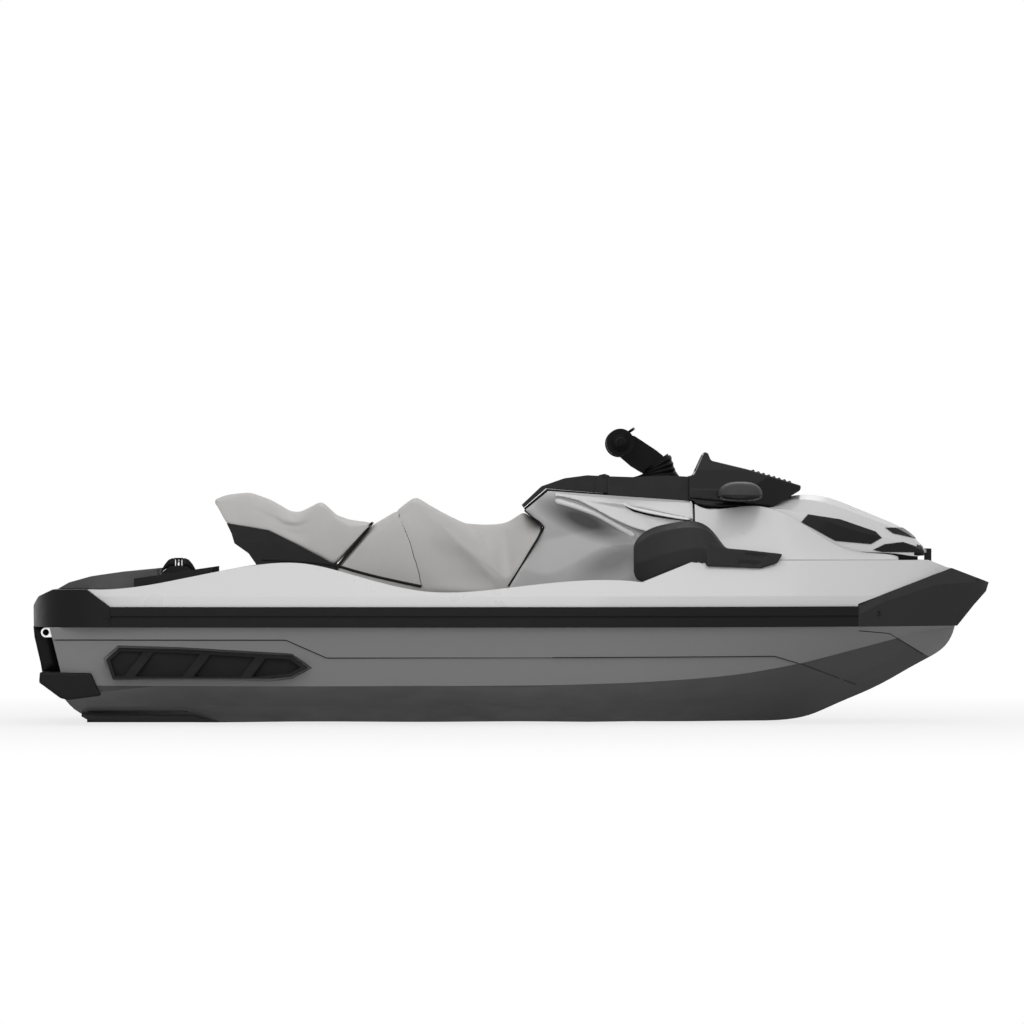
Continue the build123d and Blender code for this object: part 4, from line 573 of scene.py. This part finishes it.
def seam_gap(point, seam):
    """Distance in side view from a point to a seam, if there is one, in millimetres."""
    if not seam:
        return math.inf
    return abs(point.x / MM - between(seam, 1, point.z / MM))


def puff(piece, sewn, seam):
    """Swells a cushion's cover with a short cloth run; seams stay sewn and the swelling is capped."""
    held = piece.vertex_groups.new(name="sewn")
    rest = [point.co.copy() for point in piece.data.vertices]
    for index, spot in enumerate(rest):
        if sewn[index] or seam_gap(spot, seam) < CUSHION_STEP / 2:
            held.add([index], 1.0, "REPLACE")
    cloth = piece.modifiers.new("cover", "CLOTH")
    settings = cloth.settings
    settings.quality, settings.mass, settings.vertex_group_mass = 6, 0.3, "sewn"
    settings.tension_stiffness = settings.compression_stiffness = 20.0
    settings.bending_stiffness = 2.0
    settings.use_pressure, settings.uniform_pressure_force = True, 4.0
    settings.effector_weights.gravity = 0.0
    cloth.collision_settings.use_collision = False
    scene = bpy.context.scene
    for count in range(1, PUFF_FRAMES + 1):
        scene.frame_set(count)
    swollen = piece.evaluated_get(bpy.context.evaluated_depsgraph_get()).to_mesh()
    for point, spot, moved in zip(piece.data.vertices, rest, swollen.vertices):
        push = moved.co - spot
        point.co = spot + push * min(1.0, PUFF_LIMIT / max(push.length, 1e-9))
    piece.modifiers.remove(cloth)
    scene.frame_set(1)


def sew(piece, seam):
    """Divides the cover once and pulls its seam in."""
    modifier = divide(piece, 1)
    fine = bpy.data.meshes.new_from_object(piece.evaluated_get(bpy.context.evaluated_depsgraph_get()))
    piece.modifiers.remove(modifier)
    for point in fine.vertices:
        pull = SEAM_DEPTH * math.exp(-(seam_gap(point.co, seam) / SEAM_REACH) ** 2)
        point.co -= point.normal * pull * MM
    piece.data = fine
    for face in fine.polygons:
        face.use_smooth = True


def cushion(name, node, table, seam=()):
    """A seat cushion in place of its solid."""
    form, sewn = cushion_form(table)
    piece = put(name, to_mesh(name, form), "craft", "vinyl_grey")
    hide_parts(node)
    puff(piece, sewn, seam)
    sew(piece, seam)
    return piece


WELT_R, STRIP_R, BEAD_R = 3.6, 5.0, 1.1
WELT_PROUD, STRIP_PROUD = 1.0, 1.5
BEAD_STEPS = 6
SPLIT = [
    # z, x of the joint between the cushions
    (300, -641), (313, -634), (468, -511),
]
SPLIT_HALF, SPLIT_RISE = 120, 1  # the welt over the top
CHEVRON = [
    # x, z of the joint with the console
    (-17, 240), (48, 347), (113, 452), (80, 484), (43, 514),
]
SEAT_STRIP = [
    # x, z of the dark strip at the seat's foot
    (-905, 336), (-760, 330), (-636, 316), (-567, 294), (-448, 264), (-330, 240),
]


def seat_line(points, proud):
    """Points on the seat's side at given x and z, out of its face by some millimetres."""
    return [Vector((x, seat_half(z) + proud, z)) * MM for x, z in points]


def mirrored(points):
    return [Vector((point.x, -point.y, point.z)) for point in points]


def seam_bead(surface):
    """Points along the front cushion's seam, laid on its port side."""
    points = [Vector((x, seat_half(z), z)) * MM for z, x in FRONT_SEAM[1:5]]
    fine = [points[0]]
    for low, high in zip(points, points[1:]):
        fine.extend(low.lerp(high, k / BEAD_STEPS) for k in range(1, BEAD_STEPS + 1))
    return [surface.find_nearest(point)[0] for point in fine]


def add_seat():
    """Both cushions, the welts in their joints and the strip at their foot."""
    front = cushion("seat_front_cushion", "seat_front", FRONT_CUSHION, FRONT_SEAM)
    cushion("seat_rear_cushion", "seat_rear", REAR_CUSHION)
    port = seat_line([(x, z) for z, x in SPLIT], 0.0)
    top_z, top_x = SPLIT[-1]
    over = [Vector((top_x, y, top_z + SPLIT_RISE)) * MM for y in (SPLIT_HALF, 0, -SPLIT_HALF)]
    tube("seat_split_welt", [*port, *over, *reversed(mirrored(port))], WELT_R * MM, "craft", "trim_black")
    surface = BVHTree.FromObject(front, bpy.context.evaluated_depsgraph_get())
    lines = [
        # name, points on the port side, radius, slot
        ("chevron_welt", seat_line(CHEVRON, WELT_PROUD), WELT_R, "trim_black"),
        ("seat_strip", seat_line(SEAT_STRIP, STRIP_PROUD), STRIP_R, "trim_black"),
        ("seam_bead", seam_bead(surface), BEAD_R, "seat_black"),
    ]
    for label, side in SIDES:
        for name, points, radius, slot in lines:
            points = points if side > 0 else mirrored(points)
            tube(f"{name}_{label}", points, radius * MM, "craft", slot)


# Trims
FIN = [
    # x, low_z, top_z
    (388, 539, 543), (432, 516, 540), (500, 501, 524), (570, 488, 507), (640, 476, 489),
]
FIN_SECTION = [
    # edge it is measured from, out, up
    ("top", -6, 0), ("top", 1, 1), ("proud", 7, 5), ("proud", 9, 1), ("proud", 6, -2), ("low", -6, 0),
]
FIN_SHADE = [
    # x, low_z, top_z of the dark slit under the blade
    (404, 527, 531), (432, 509, 520), (500, 492, 505), (570, 481, 491), (636, 474, 478),
]
SHADE_DEEP, SHADE_PROUD = 6, 1.5


def add_fins():
    """Blades on the side panels, made lighter with a painted highlight, each with a dark slit under it."""
    for label, side in SIDES:
        tree = tree_of(f"side_panel_{label}")
        rings = []
        for x, low_z, top_z in FIN:
            low_y, top_y = (half_breadth(tree, x, z, side) for z in (low_z, top_z))
            edges = {"top": (top_y, top_z), "proud": (max(low_y, top_y), low_z), "low": (low_y, low_z)}
            ring = [(edges[edge][0] + out, edges[edge][1] + up) for edge, out, up in FIN_SECTION]
            rings.append([Vector((x, side * y, z)) * MM for y, z in ring])
        fin = to_mesh("fin", skin(rings))
        # The blade takes the lighter gelcoat as a painted highlight
        divide(put(f"panel_fin_{label}", fin, "craft", "deck_silver", FIN_PAINTED_HIGHLIGHT), 2)
        rings = []
        for x, low_z, top_z in FIN_SHADE:
            section = ((low_z, -SHADE_DEEP), (low_z, SHADE_PROUD), (top_z, SHADE_PROUD), (top_z, -SHADE_DEEP))
            rings.append([Vector((x, side * (half_breadth(tree, x, z, side) + out), z)) * MM
                          for z, out in section])
        put(f"fin_slit_{label}", to_mesh("fin_slit", skin(rings)), "craft", "trim_black")


BROW = [
    # x, z of the lip over the console's knee hollow
    (150, 551), (217, 532), (294, 505), (371, 460), (440, 420),
]
BROW_STEPS, BROW_REACH, BROW_TIP = 8, 24, 0.3
BROW_SECTION = [(-6, 12), (2, 12), (6, 8), (9, -2), (7, -12), (-6, -13)]


def add_brows():
    """Lips over the knee hollows of the console."""
    tree = tree_of("console")
    for label, side in SIDES:
        rings = []
        for low, high in zip(BROW, BROW[1:]):
            for k in range(BROW_STEPS + (high == BROW[-1])):
                x = low[0] + (high[0] - low[0]) * k / BROW_STEPS
                z = rounded_between(BROW, 1, x, BROW_REACH)
                y = half_breadth(tree, x, z, side)
                size = 1.0 if rings and x < BROW[-1][0] else BROW_TIP
                rings.append([Vector((x, side * (y + out * size), z + up * size)) * MM
                              for out, up in BROW_SECTION])
        divide(put(f"knee_lip_{label}", to_mesh("knee_lip", skin(rings)), "craft", "deck_silver"), 1)


# Seals and liners in the joints: rows of lower x, z, upper x, z, inner and outer y
LID_SEAL = [
    (43, 515, 39, 521.8), (127, 584, 121, 591.6), (325, 570, 325, 575.4), (327, 570, 327, 580),
    (343, 568.5, 343, 580),
]
LID_SEAL_Y = (88, 96)
VISOR_SEAL = [
    (634, 548, 634, 560, 214, 224), (650, 547, 650, 558, 214, 224), (657, 522, 657, 558, 214, 224),
    (700, 516, 700, 553, 214, 224), (806, 518, 806, 544, 214, 224), (860, 517, 860, 538, 206, 216),
    (930, 516, 930, 530, 190, 202),
]
HOOD_SEAL = [
    (1270, 334, 1270, 372, 150, 161), (1298, 334, 1298, 366, 144, 155),
    (1400, 334, 1400, 359, 112, 123), (1462, 334, 1462, 357, 88, 99),
]
HOOD_SEAL_FRONT = [(1452, 334, 1452, 357, -92, 92), (1462, 334, 1462, 357, -92, 92)]
CHEVRON_LINER = [(-21, 242, -13, 238), (108, 452, 119, 452), (40, 511, 46, 517)]
CHEVRON_LINER_HALF, BASE_LINER_HALF = 120, 130
BASE_LINER = [
    # x, low_z, top_z under the rear cushion
    (-1018, 450, 468), (-953, 442, 462), (-880, 430, 449), (-808, 395, 414),
    (-735, 356, 376), (-640, 304, 324),
]
STERN_CHEEK = [
    (-1720, 99, -1640, 99), (-1716, 60, -1640, 60), (-1694, -34, -1625, -34), (-1689, -64, -1612, -64),
]
CHEEK_Y = (262, 330)
KEEL_FILL = [
    # x, low_z, top_z, outer y of the hull's bottom beside the ride plate
    (-1556, -229, -218, 168), (-1536, -240, -216, 168), (-1500, -247.5, -215, 168), (-1450, -250, -214, 168),
    (-1150, -250, -214, 168), (-1060, -250, -222, 108),
]
KEEL_FILL_INNER = 92
# Cap on the hood's nose: x, half-breadth, edge_z, crown_z, across the same arch as the hood
NOSE = [(1448, 118, 352, 416), (1478, 108, 350, 390), (1484, 103, 351, 384), (1485.5, 92, 357, 374)]
ARCH = [(1, 0), (0.94, 0.45), (0.64, 0.86), (0.25, 1)]


def add_seals():
    """Gaskets and dark liners that close the joints, and the stern trim's cheeks."""
    inner, outer = LID_SEAL_Y
    sides = both_walls([(*row, inner, outer) for row in LID_SEAL])
    rear = wall([(*row, -inner, inner) for row in LID_SEAL[:2]])
    put("lid_gasket", to_mesh("lid_gasket", *sides, rear), "craft", "trim_black")
    put("visor_skirt", to_mesh("visor_skirt", *both_walls(VISOR_SEAL)), "hood", "gloss_black")
    hood_walls = [*both_walls(HOOD_SEAL), wall(HOOD_SEAL_FRONT)]
    put("hood_seal", to_mesh("hood_seal", *hood_walls), "craft", "trim_black")
    liners = [
        wall([(*row, -CHEVRON_LINER_HALF, CHEVRON_LINER_HALF) for row in CHEVRON_LINER]),
        wall([(x, low, x, top, -BASE_LINER_HALF, BASE_LINER_HALF) for x, low, top in BASE_LINER]),
    ]
    put("seat_liners", to_mesh("seat_liners", *liners), "craft", "trim_black")
    keel = both_walls([(x, low, x, top, KEEL_FILL_INNER, outer) for x, low, top, outer in KEEL_FILL])
    put("keel_sides", to_mesh("keel_sides", *keel), "craft", "hull_grey")
    nose = []
    for x, half, edge, crown in NOSE:
        arch = [(share * half, edge + rise * (crown - edge)) for share, rise in ARCH]
        nose.append([Vector((x, y, z)) * MM for y, z in [*arch, *[(-y, z) for y, z in reversed(arch)]]])
    put("hood_nose", to_mesh("hood_nose", skin(nose)), "hood", "gloss_black")
    cheeks = both_walls([(*row, *CHEEK_Y) for row in STERN_CHEEK])
    put("stern_cheeks", to_mesh("stern_cheeks", *cheeks), "craft", "trim_black")


# Boot of the steering mast, from an oval foot on the dash to a ring under the mast
STEER_X, STEER_Z, STEER_TILT = 545, 640, math.radians(35)
BOOT_X, BOOT_Z, BOOT_LONG, BOOT_WIDE = 512, 633, 82, 64
BOOT_TOP, BOOT_R, BOOT_WALL = 48, 63, 2.5
BOOT_STEPS, BOOT_ROUND = 24, 48
BOOT_PLEATS, BOOT_PLEAT = 4, 1.5


def boot_ring(share, wall_in, pleat):
    """One ring of the boot, at a share of the way up."""
    along = Vector((math.cos(STEER_TILT), 0.0, math.sin(STEER_TILT)))
    top = Vector((STEER_X - BOOT_TOP * math.sin(STEER_TILT), 0.0, STEER_Z + BOOT_TOP * math.cos(STEER_TILT)))
    ring = []
    for turn in turns(BOOT_ROUND):
        foot = Vector((BOOT_X + (BOOT_LONG - wall_in + pleat) * math.cos(turn),
                       (BOOT_WIDE - wall_in + pleat) * math.sin(turn), BOOT_Z))
        radius = BOOT_R - wall_in + pleat
        rim = top + along * radius * math.cos(turn) + Vector((0.0, radius * math.sin(turn), 0.0))
        ring.append(foot.lerp(rim, share) * MM)
    return ring


def add_boot():
    """Pleated rubber boot round the foot of the steering mast."""
    shares = [i / BOOT_STEPS for i in range(BOOT_STEPS + 1)]
    pleats = [BOOT_PLEAT * (1 - math.cos(2 * math.pi * BOOT_PLEATS * share)) for share in shares]
    outer = [boot_ring(share, 0.0, pleat) for share, pleat in zip(shares, pleats)]
    inner = [boot_ring(share, BOOT_WALL, 0.0) for share in reversed(shares)]
    put("steering_boot", to_mesh("boot", skin(outer + inner, closed=True)), "craft", "control_black")


# Mirrors: domed caps over dark shells
MIRROR_X, MIRROR_Z, MIRROR_HALF = 815, 566, 80
MIRROR_CAP_RISE, MIRROR_SHELL_DROP = 50, 20
MIRROR_PARTING = 0.6  # half the gap between cap and shell
MIRROR_PLAN, MIRROR_DOME = 0.75, 0.85  # powers below 1 fill out the oval
MIRROR_ENDS = [
    # y, share of the full size
    (262, 0.72), (266, 0.86), (276, 0.96), (300, 1.0), (340, 0.99),
    (364, 0.93), (380, 0.82), (389, 0.64), (392, 0.4),
]
MIRROR_ARM = [
    # y, half-length, half-height of the arm to the visor
    (224, 34, 12), (240, 31, 10), (264, 36, 12),
]
MIRROR_ARM_X = 790
MIRROR_ROUND = 24


def mirror_half(side, rise):
    """Half of a mirror's housing, domed by a rise up or down from its parting line."""
    base_z = MIRROR_Z + math.copysign(MIRROR_PARTING, rise)
    rings = []
    for y, size in MIRROR_ENDS:
        ring = []
        for k in range(MIRROR_ROUND + 1):
            turn = math.pi * k / MIRROR_ROUND
            across = math.copysign(abs(math.cos(turn)) ** MIRROR_PLAN, math.cos(turn))
            z = base_z + rise * size * math.sin(turn) ** MIRROR_DOME
            ring.append(Vector((MIRROR_X + MIRROR_HALF * size * across, side * y, z)) * MM)
        rings.append(ring)
    return skin(rings)


def mirror_arm(side):
    """Arm from a mirror to the visor."""
    return skin([upright_ring(MIRROR_ARM_X, side * y, MIRROR_Z, length, height, MIRROR_ROUND)
                 for y, length, height in MIRROR_ARM])


def add_mirrors():
    """Mirror housings in place of their plain solids."""
    shells = [mirror_half(side, -MIRROR_SHELL_DROP) for side in (1, -1)]
    arms = [mirror_arm(side) for side in (1, -1)]
    piece = put("mirror_shells", to_mesh("mirror_shells", *shells, *arms), "hood", "gloss_black")
    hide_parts("mirrors")
    caps = [mirror_half(side, MIRROR_CAP_RISE) for side in (1, -1)]
    put("mirror_caps", to_mesh("mirror_caps", *caps), "hood", "gloss_black", MIRROR_CAP)


# Horns either side of the tow post, and its bright sleeve
HORN = [
    # distance from the post, low_z, top_z
    (62, 290, 297), (50, 300, 318), (36, 306, 335), (22, 306, 341), (14, 306, 337),
]
HORN_Y = 34
SLEEVE_ROUND = 24
SLEEVE = [(10.5, 312), (11.5, 314), (10.2, 318), (10.2, 331), (11.5, 334), (10.5, 336)]


def add_hook():
    """Guard horns fore and aft of the tow post, and a steel sleeve on it."""
    low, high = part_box("tow_hook")
    post_x = (low[0] + high[0]) / 2 / MM
    horns = [wall([(post_x + way * u, low_z, post_x + way * u, top_z, -HORN_Y, HORN_Y)
                   for u, low_z, top_z in HORN]) for way in (-1, 1)]
    put("hook_horns", to_mesh("hook_horns", *horns), "craft", "hook_black")
    rings = [[Vector((post_x + radius * math.cos(t), radius * math.sin(t), z)) * MM
              for t in turns(SLEEVE_ROUND)] for radius, z in SLEEVE]
    put("hook_sleeve", to_mesh("hook_sleeve", skin(rings)), "craft", "steel")


LOUVRES = 8
LOUVRE_X, LOUVRE_PITCH = 866, 19
LOUVRE_HALF, LOUVRE_TAPER = 112, 5  # half-length of the rearmost, and how much shorter each next one is
LOUVRE_SHARES, LOUVRE_TIP = (-1.0, -0.97, -0.6, 0.0, 0.6, 0.97, 1.0), 0.4
LOUVRE_SECTION = [(-7, -4), (-6, 1), (-2, 5), (3, 6), (7, 1), (7, -4)]


def add_louvres():
    """Slats across the top of the visor."""
    tree = tree_of("visor")
    forms = []
    for i in range(LOUVRES):
        x = LOUVRE_X + i * LOUVRE_PITCH
        top = tree.ray_cast(Vector((x * MM, 0.0, RAY_START)), Vector((0.0, 0.0, -1.0)))[0].z / MM
        half = LOUVRE_HALF - LOUVRE_TAPER * i
        rings = []
        for share in LOUVRE_SHARES:
            size = LOUVRE_TIP if abs(share) == 1.0 else 1.0
            rings.append([Vector((x + u * size, half * share, top + w * size)) * MM
                          for u, w in LOUVRE_SECTION])
        forms.append(skin(rings))
    put("visor_louvres", to_mesh("louvres", *forms), "hood", "gloss_black")


GRIP_RIBS, GRIP_STEPS, GRIP_ROUND = 15, 6, 32
GRIP_INNER = 254
GRIP_FLANGE = [
    # out from the inner end, radius
    (0, 12.5), (0, 30), (2, 32), (8, 32), (11, 24),
]
GRIP_PLAIN_INNER, GRIP_PLAIN_OUTER = 14, 6  # lengths without ribs
GRIP_R, GRIP_RIB = 16.8, 1.2
GRIP_END = [
    # in from the outer end, radius
    (3, 16.5), (0, 11), (0, 3),
]


def add_grips():
    """Ribbed rubber sleeves in place of the plain grips."""
    low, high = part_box("grips")
    centre_x, centre_z = ((low[axis] + high[axis]) / 2 / MM for axis in (0, 2))
    outer = high[1] / MM
    profile = [(GRIP_INNER + out, radius) for out, radius in GRIP_FLANGE]
    start, stop = GRIP_INNER + GRIP_PLAIN_INNER, outer - GRIP_PLAIN_OUTER
    for i in range(GRIP_RIBS * GRIP_STEPS + 1):
        share = i / (GRIP_RIBS * GRIP_STEPS)
        wave = 0.5 + 0.5 * math.cos(2 * math.pi * i / GRIP_STEPS)
        profile.append((start + (stop - start) * share, GRIP_R + GRIP_RIB * wave))
    profile += [(outer - back, radius) for back, radius in GRIP_END]
    forms = [skin([upright_ring(centre_x, side * y, centre_z, radius, radius, GRIP_ROUND)
                   for y, radius in profile]) for _, side in SIDES]
    piece = put("ribbed_grips", to_mesh("grips", *forms), "steering", "grip_rubber")
    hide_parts("grips")


PLUGS = [
    # name, node, x, z, radius
    ("bow_plug", "bow_bumper", 1307, 145, 8),
    ("stern_plug", "stern_bumper", -1446, 123, 8),
]
PLUG_ROUND = 24
PLUG_PROFILE = [(1.35, -2.0), (1.35, 0.8), (1.2, 1.4), (0.95, 1.2), (0.85, -0.5), (0.3, -0.8)]


def add_plugs():
    """Small dished plugs in the holes of the bumpers."""
    for name, node, x, z, radius in PLUGS:
        tree = tree_of(node)
        for label, side in SIDES:
            y = half_breadth(tree, x, z, side)
            rings = [upright_ring(x, side * (y + out), z, share * radius, share * radius, PLUG_ROUND)
                     for share, out in PLUG_PROFILE]
            put(f"{name}_{label}", to_mesh(name, skin(rings)), "craft", "tub_black")


KEEL_STRIP_X, KEEL_STRIP_Z = (-1533, -1171), -211
KEEL_STRIP_TALL, KEEL_STRIP_PROUD = 8, 2
KEEL_STRIP_STEPS, KEEL_STRIP_TIP = 24, 0.5
# Shares of half the height and of how far it stands out
KEEL_STRIP_SECTION = [(-1, -3), (-1, 0.6), (-0.6, 1), (0.6, 1), (1, 0.6), (1, -3)]


def add_keel_strips():
    """Thin dark strips low on the hull's quarters."""
    tree = tree_of("hull")
    for label, side in SIDES:
        rings = []
        first, last = KEEL_STRIP_X
        for i in range(KEEL_STRIP_STEPS + 1):
            x = first + (last - first) * i / KEEL_STRIP_STEPS
            size = KEEL_STRIP_TIP if i in (0, KEEL_STRIP_STEPS) else 1.0
            ring = []
            for w, out in KEEL_STRIP_SECTION:
                z = KEEL_STRIP_Z + w * size * KEEL_STRIP_TALL / 2
                y = half_breadth(tree, x, z, side)
                ring.append(Vector((x, side * (y + out * KEEL_STRIP_PROUD), z)) * MM)
            rings.append(ring)
        put(f"keel_strip_{label}", to_mesh("keel_strip", skin(rings)), "craft", "trim_black")


# Painted shadow: dark lines laid along the steps of the hull's side, where the step's edge casts shade
HULL_STEP_SHADOWS = [
    # name, points as x, z along the steps of the hull's side
    ("bow_step_shadow", [(1240, 82), (1354, 71), (1430, 26), (1486, -8)]),
    ("side_step_shadow", [(-1630, 52), (-808, 52), (-663, -12), (935, -8), (1040, -40), (1240, -116)]),
]
LINE_STEP, LINE_R, LINE_PROUD = 15.0, 1.6, 0.6


def add_hull_step_shadows():
    """Thin dark lines along the steps of the hull's side: painted shadow under each step."""
    tree = tree_of("hull")
    for name, line in HULL_STEP_SHADOWS:
        spots = [line[0]]
        for (x0, z0), (x1, z1) in zip(line, line[1:]):
            count = max(1, round((x1 - x0) / LINE_STEP))
            spots.extend((x0 + (x1 - x0) * k / count, z0 + (z1 - z0) * k / count)
                         for k in range(1, count + 1))
        for label, side in SIDES:
            points = [Vector((x, side * (half_breadth(tree, x, z, side) + LINE_PROUD), z)) * MM
                      for x, z in spots]
            # Dark seat plastic standing in for the shadow along the step
            tube(f"{name}_{label}", points, LINE_R * MM, "craft", "seat_black")


# Stage

WHITE = (1.0, 1.0, 1.0, 1.0)
AMBIENT = 0.45
LAMPS = [
    # name, place, size, power
    ("key", (0.3, -3.2, 4.6), 8.0, 145.0),
    ("fill", (-1.0, -6.5, 1.6), 5.0, 85.0),
    ("back", (0.0, 4.0, 4.0), 4.0, 45.0),
]
LAMP_AIM = (0.0, 0.0, 0.3)
FLOOR_SIZE, FLOOR_TONE = 120.0, 0.72
SHADOW_NEAR, SHADOW_FAR = 1.6, 4.5  # the floor is plain white beyond the far distance
SHADOW_SHARE = 0.22  # how much of the lamps' light and shade shows on the floor by the object


def seen_rays(tree):
    """Socket that is 1 for rays by which the eye sees a thing, directly or in gloss or glass."""
    path = tree.nodes.new("ShaderNodeLightPath")
    total = path.outputs["Is Camera Ray"]
    for kind in ("Is Glossy Ray", "Is Transmission Ray"):
        both = tree.nodes.new("ShaderNodeMath")
        both.operation = "MAXIMUM"
        tree.links.new(total, both.inputs[0])
        tree.links.new(path.outputs[kind], both.inputs[1])
        total = both.outputs[0]
    return total


def floor_paint():
    """Pale floor that is seen white far off and keeps a soft shadow under the object."""
    paint = Shader("floor_paint")
    paint.set(Roughness=0.9, Specular_IOR_Level=0.1)
    varied(paint, grey(FLOOR_TONE), 0.004, 2.0)
    reach = paint.add("ShaderNodeVectorMath", operation="LENGTH")
    paint.link(paint.coords, reach.inputs[0])
    share = paint.ramp(reach.outputs["Value"], SHADOW_NEAR, SHADOW_FAR, 1.0 - SHADOW_SHARE, 1.0)
    glow = paint.add("ShaderNodeEmission")
    glow.inputs["Color"].default_value = WHITE
    glow.inputs["Strength"].default_value = 1.0
    blend = paint.add("ShaderNodeMixShader")
    paint.link(paint.math("MULTIPLY", share, seen_rays(paint.tree)), blend.inputs["Fac"])
    paint.link(paint.bsdf.outputs[0], blend.inputs[1])
    paint.link(glow.outputs[0], blend.inputs[2])
    paint.link(blend.outputs[0], paint.tree.nodes["Material Output"].inputs["Surface"])
    return paint.material


def build_stage():
    """Pale floor, soft lamps, white surround and the camera."""
    bpy.ops.mesh.primitive_plane_add(size=FLOOR_SIZE, location=(0.0, 0.0, FLOOR_Z))
    floor = bpy.context.object
    floor.name = "floor"
    floor.data.materials.append(floor_paint())

    world = bpy.data.worlds.new("studio")
    bpy.context.scene.world = world
    world.use_nodes = True
    tree = world.node_tree
    ambient = tree.nodes["Background"]
    ambient.inputs["Color"].default_value = WHITE
    ambient.inputs["Strength"].default_value = AMBIENT
    backdrop = tree.nodes.new("ShaderNodeBackground")
    backdrop.inputs["Color"].default_value = WHITE
    backdrop.inputs["Strength"].default_value = 1.0
    choose = tree.nodes.new("ShaderNodeMixShader")
    tree.links.new(seen_rays(tree), choose.inputs["Fac"])
    tree.links.new(ambient.outputs[0], choose.inputs[1])
    tree.links.new(backdrop.outputs[0], choose.inputs[2])
    tree.links.new(choose.outputs[0], tree.nodes["World Output"].inputs["Surface"])

    for name, place, size, power in LAMPS:
        lamp = bpy.data.lights.new(name, "AREA")
        lamp.shape, lamp.size, lamp.energy = "SQUARE", size, power
        holder = bpy.data.objects.new(name, lamp)
        holder.location = place
        aim = Vector(LAMP_AIM) - holder.location
        holder.rotation_euler = aim.to_track_quat("-Z", "Y").to_euler()
        bpy.context.scene.collection.objects.link(holder)

    camera = bpy.data.cameras.new("camera")
    camera.sensor_width = SENSOR
    camera.lens = SENSOR * CAMERA_FAR / VIEW_WIDTH
    camera.clip_end = CLIP_END
    holder = bpy.data.objects.new("camera", camera)
    holder.location = (VIEW_X, -CAMERA_FAR, VIEW_Z)
    holder.rotation_euler = (math.radians(90.0), 0.0, 0.0)
    bpy.context.scene.collection.objects.link(holder)
    bpy.context.scene.camera = holder


dress_nodes()
soften_nodes()
add_seat()
add_fins()
add_brows()
add_seals()
add_boot()
add_mirrors()
add_hook()
add_louvres()
add_grips()
add_plugs()
add_keel_strips()
add_hull_step_shadows()
build_stage()
bpy.context.scene.view_settings.view_transform = "Standard"
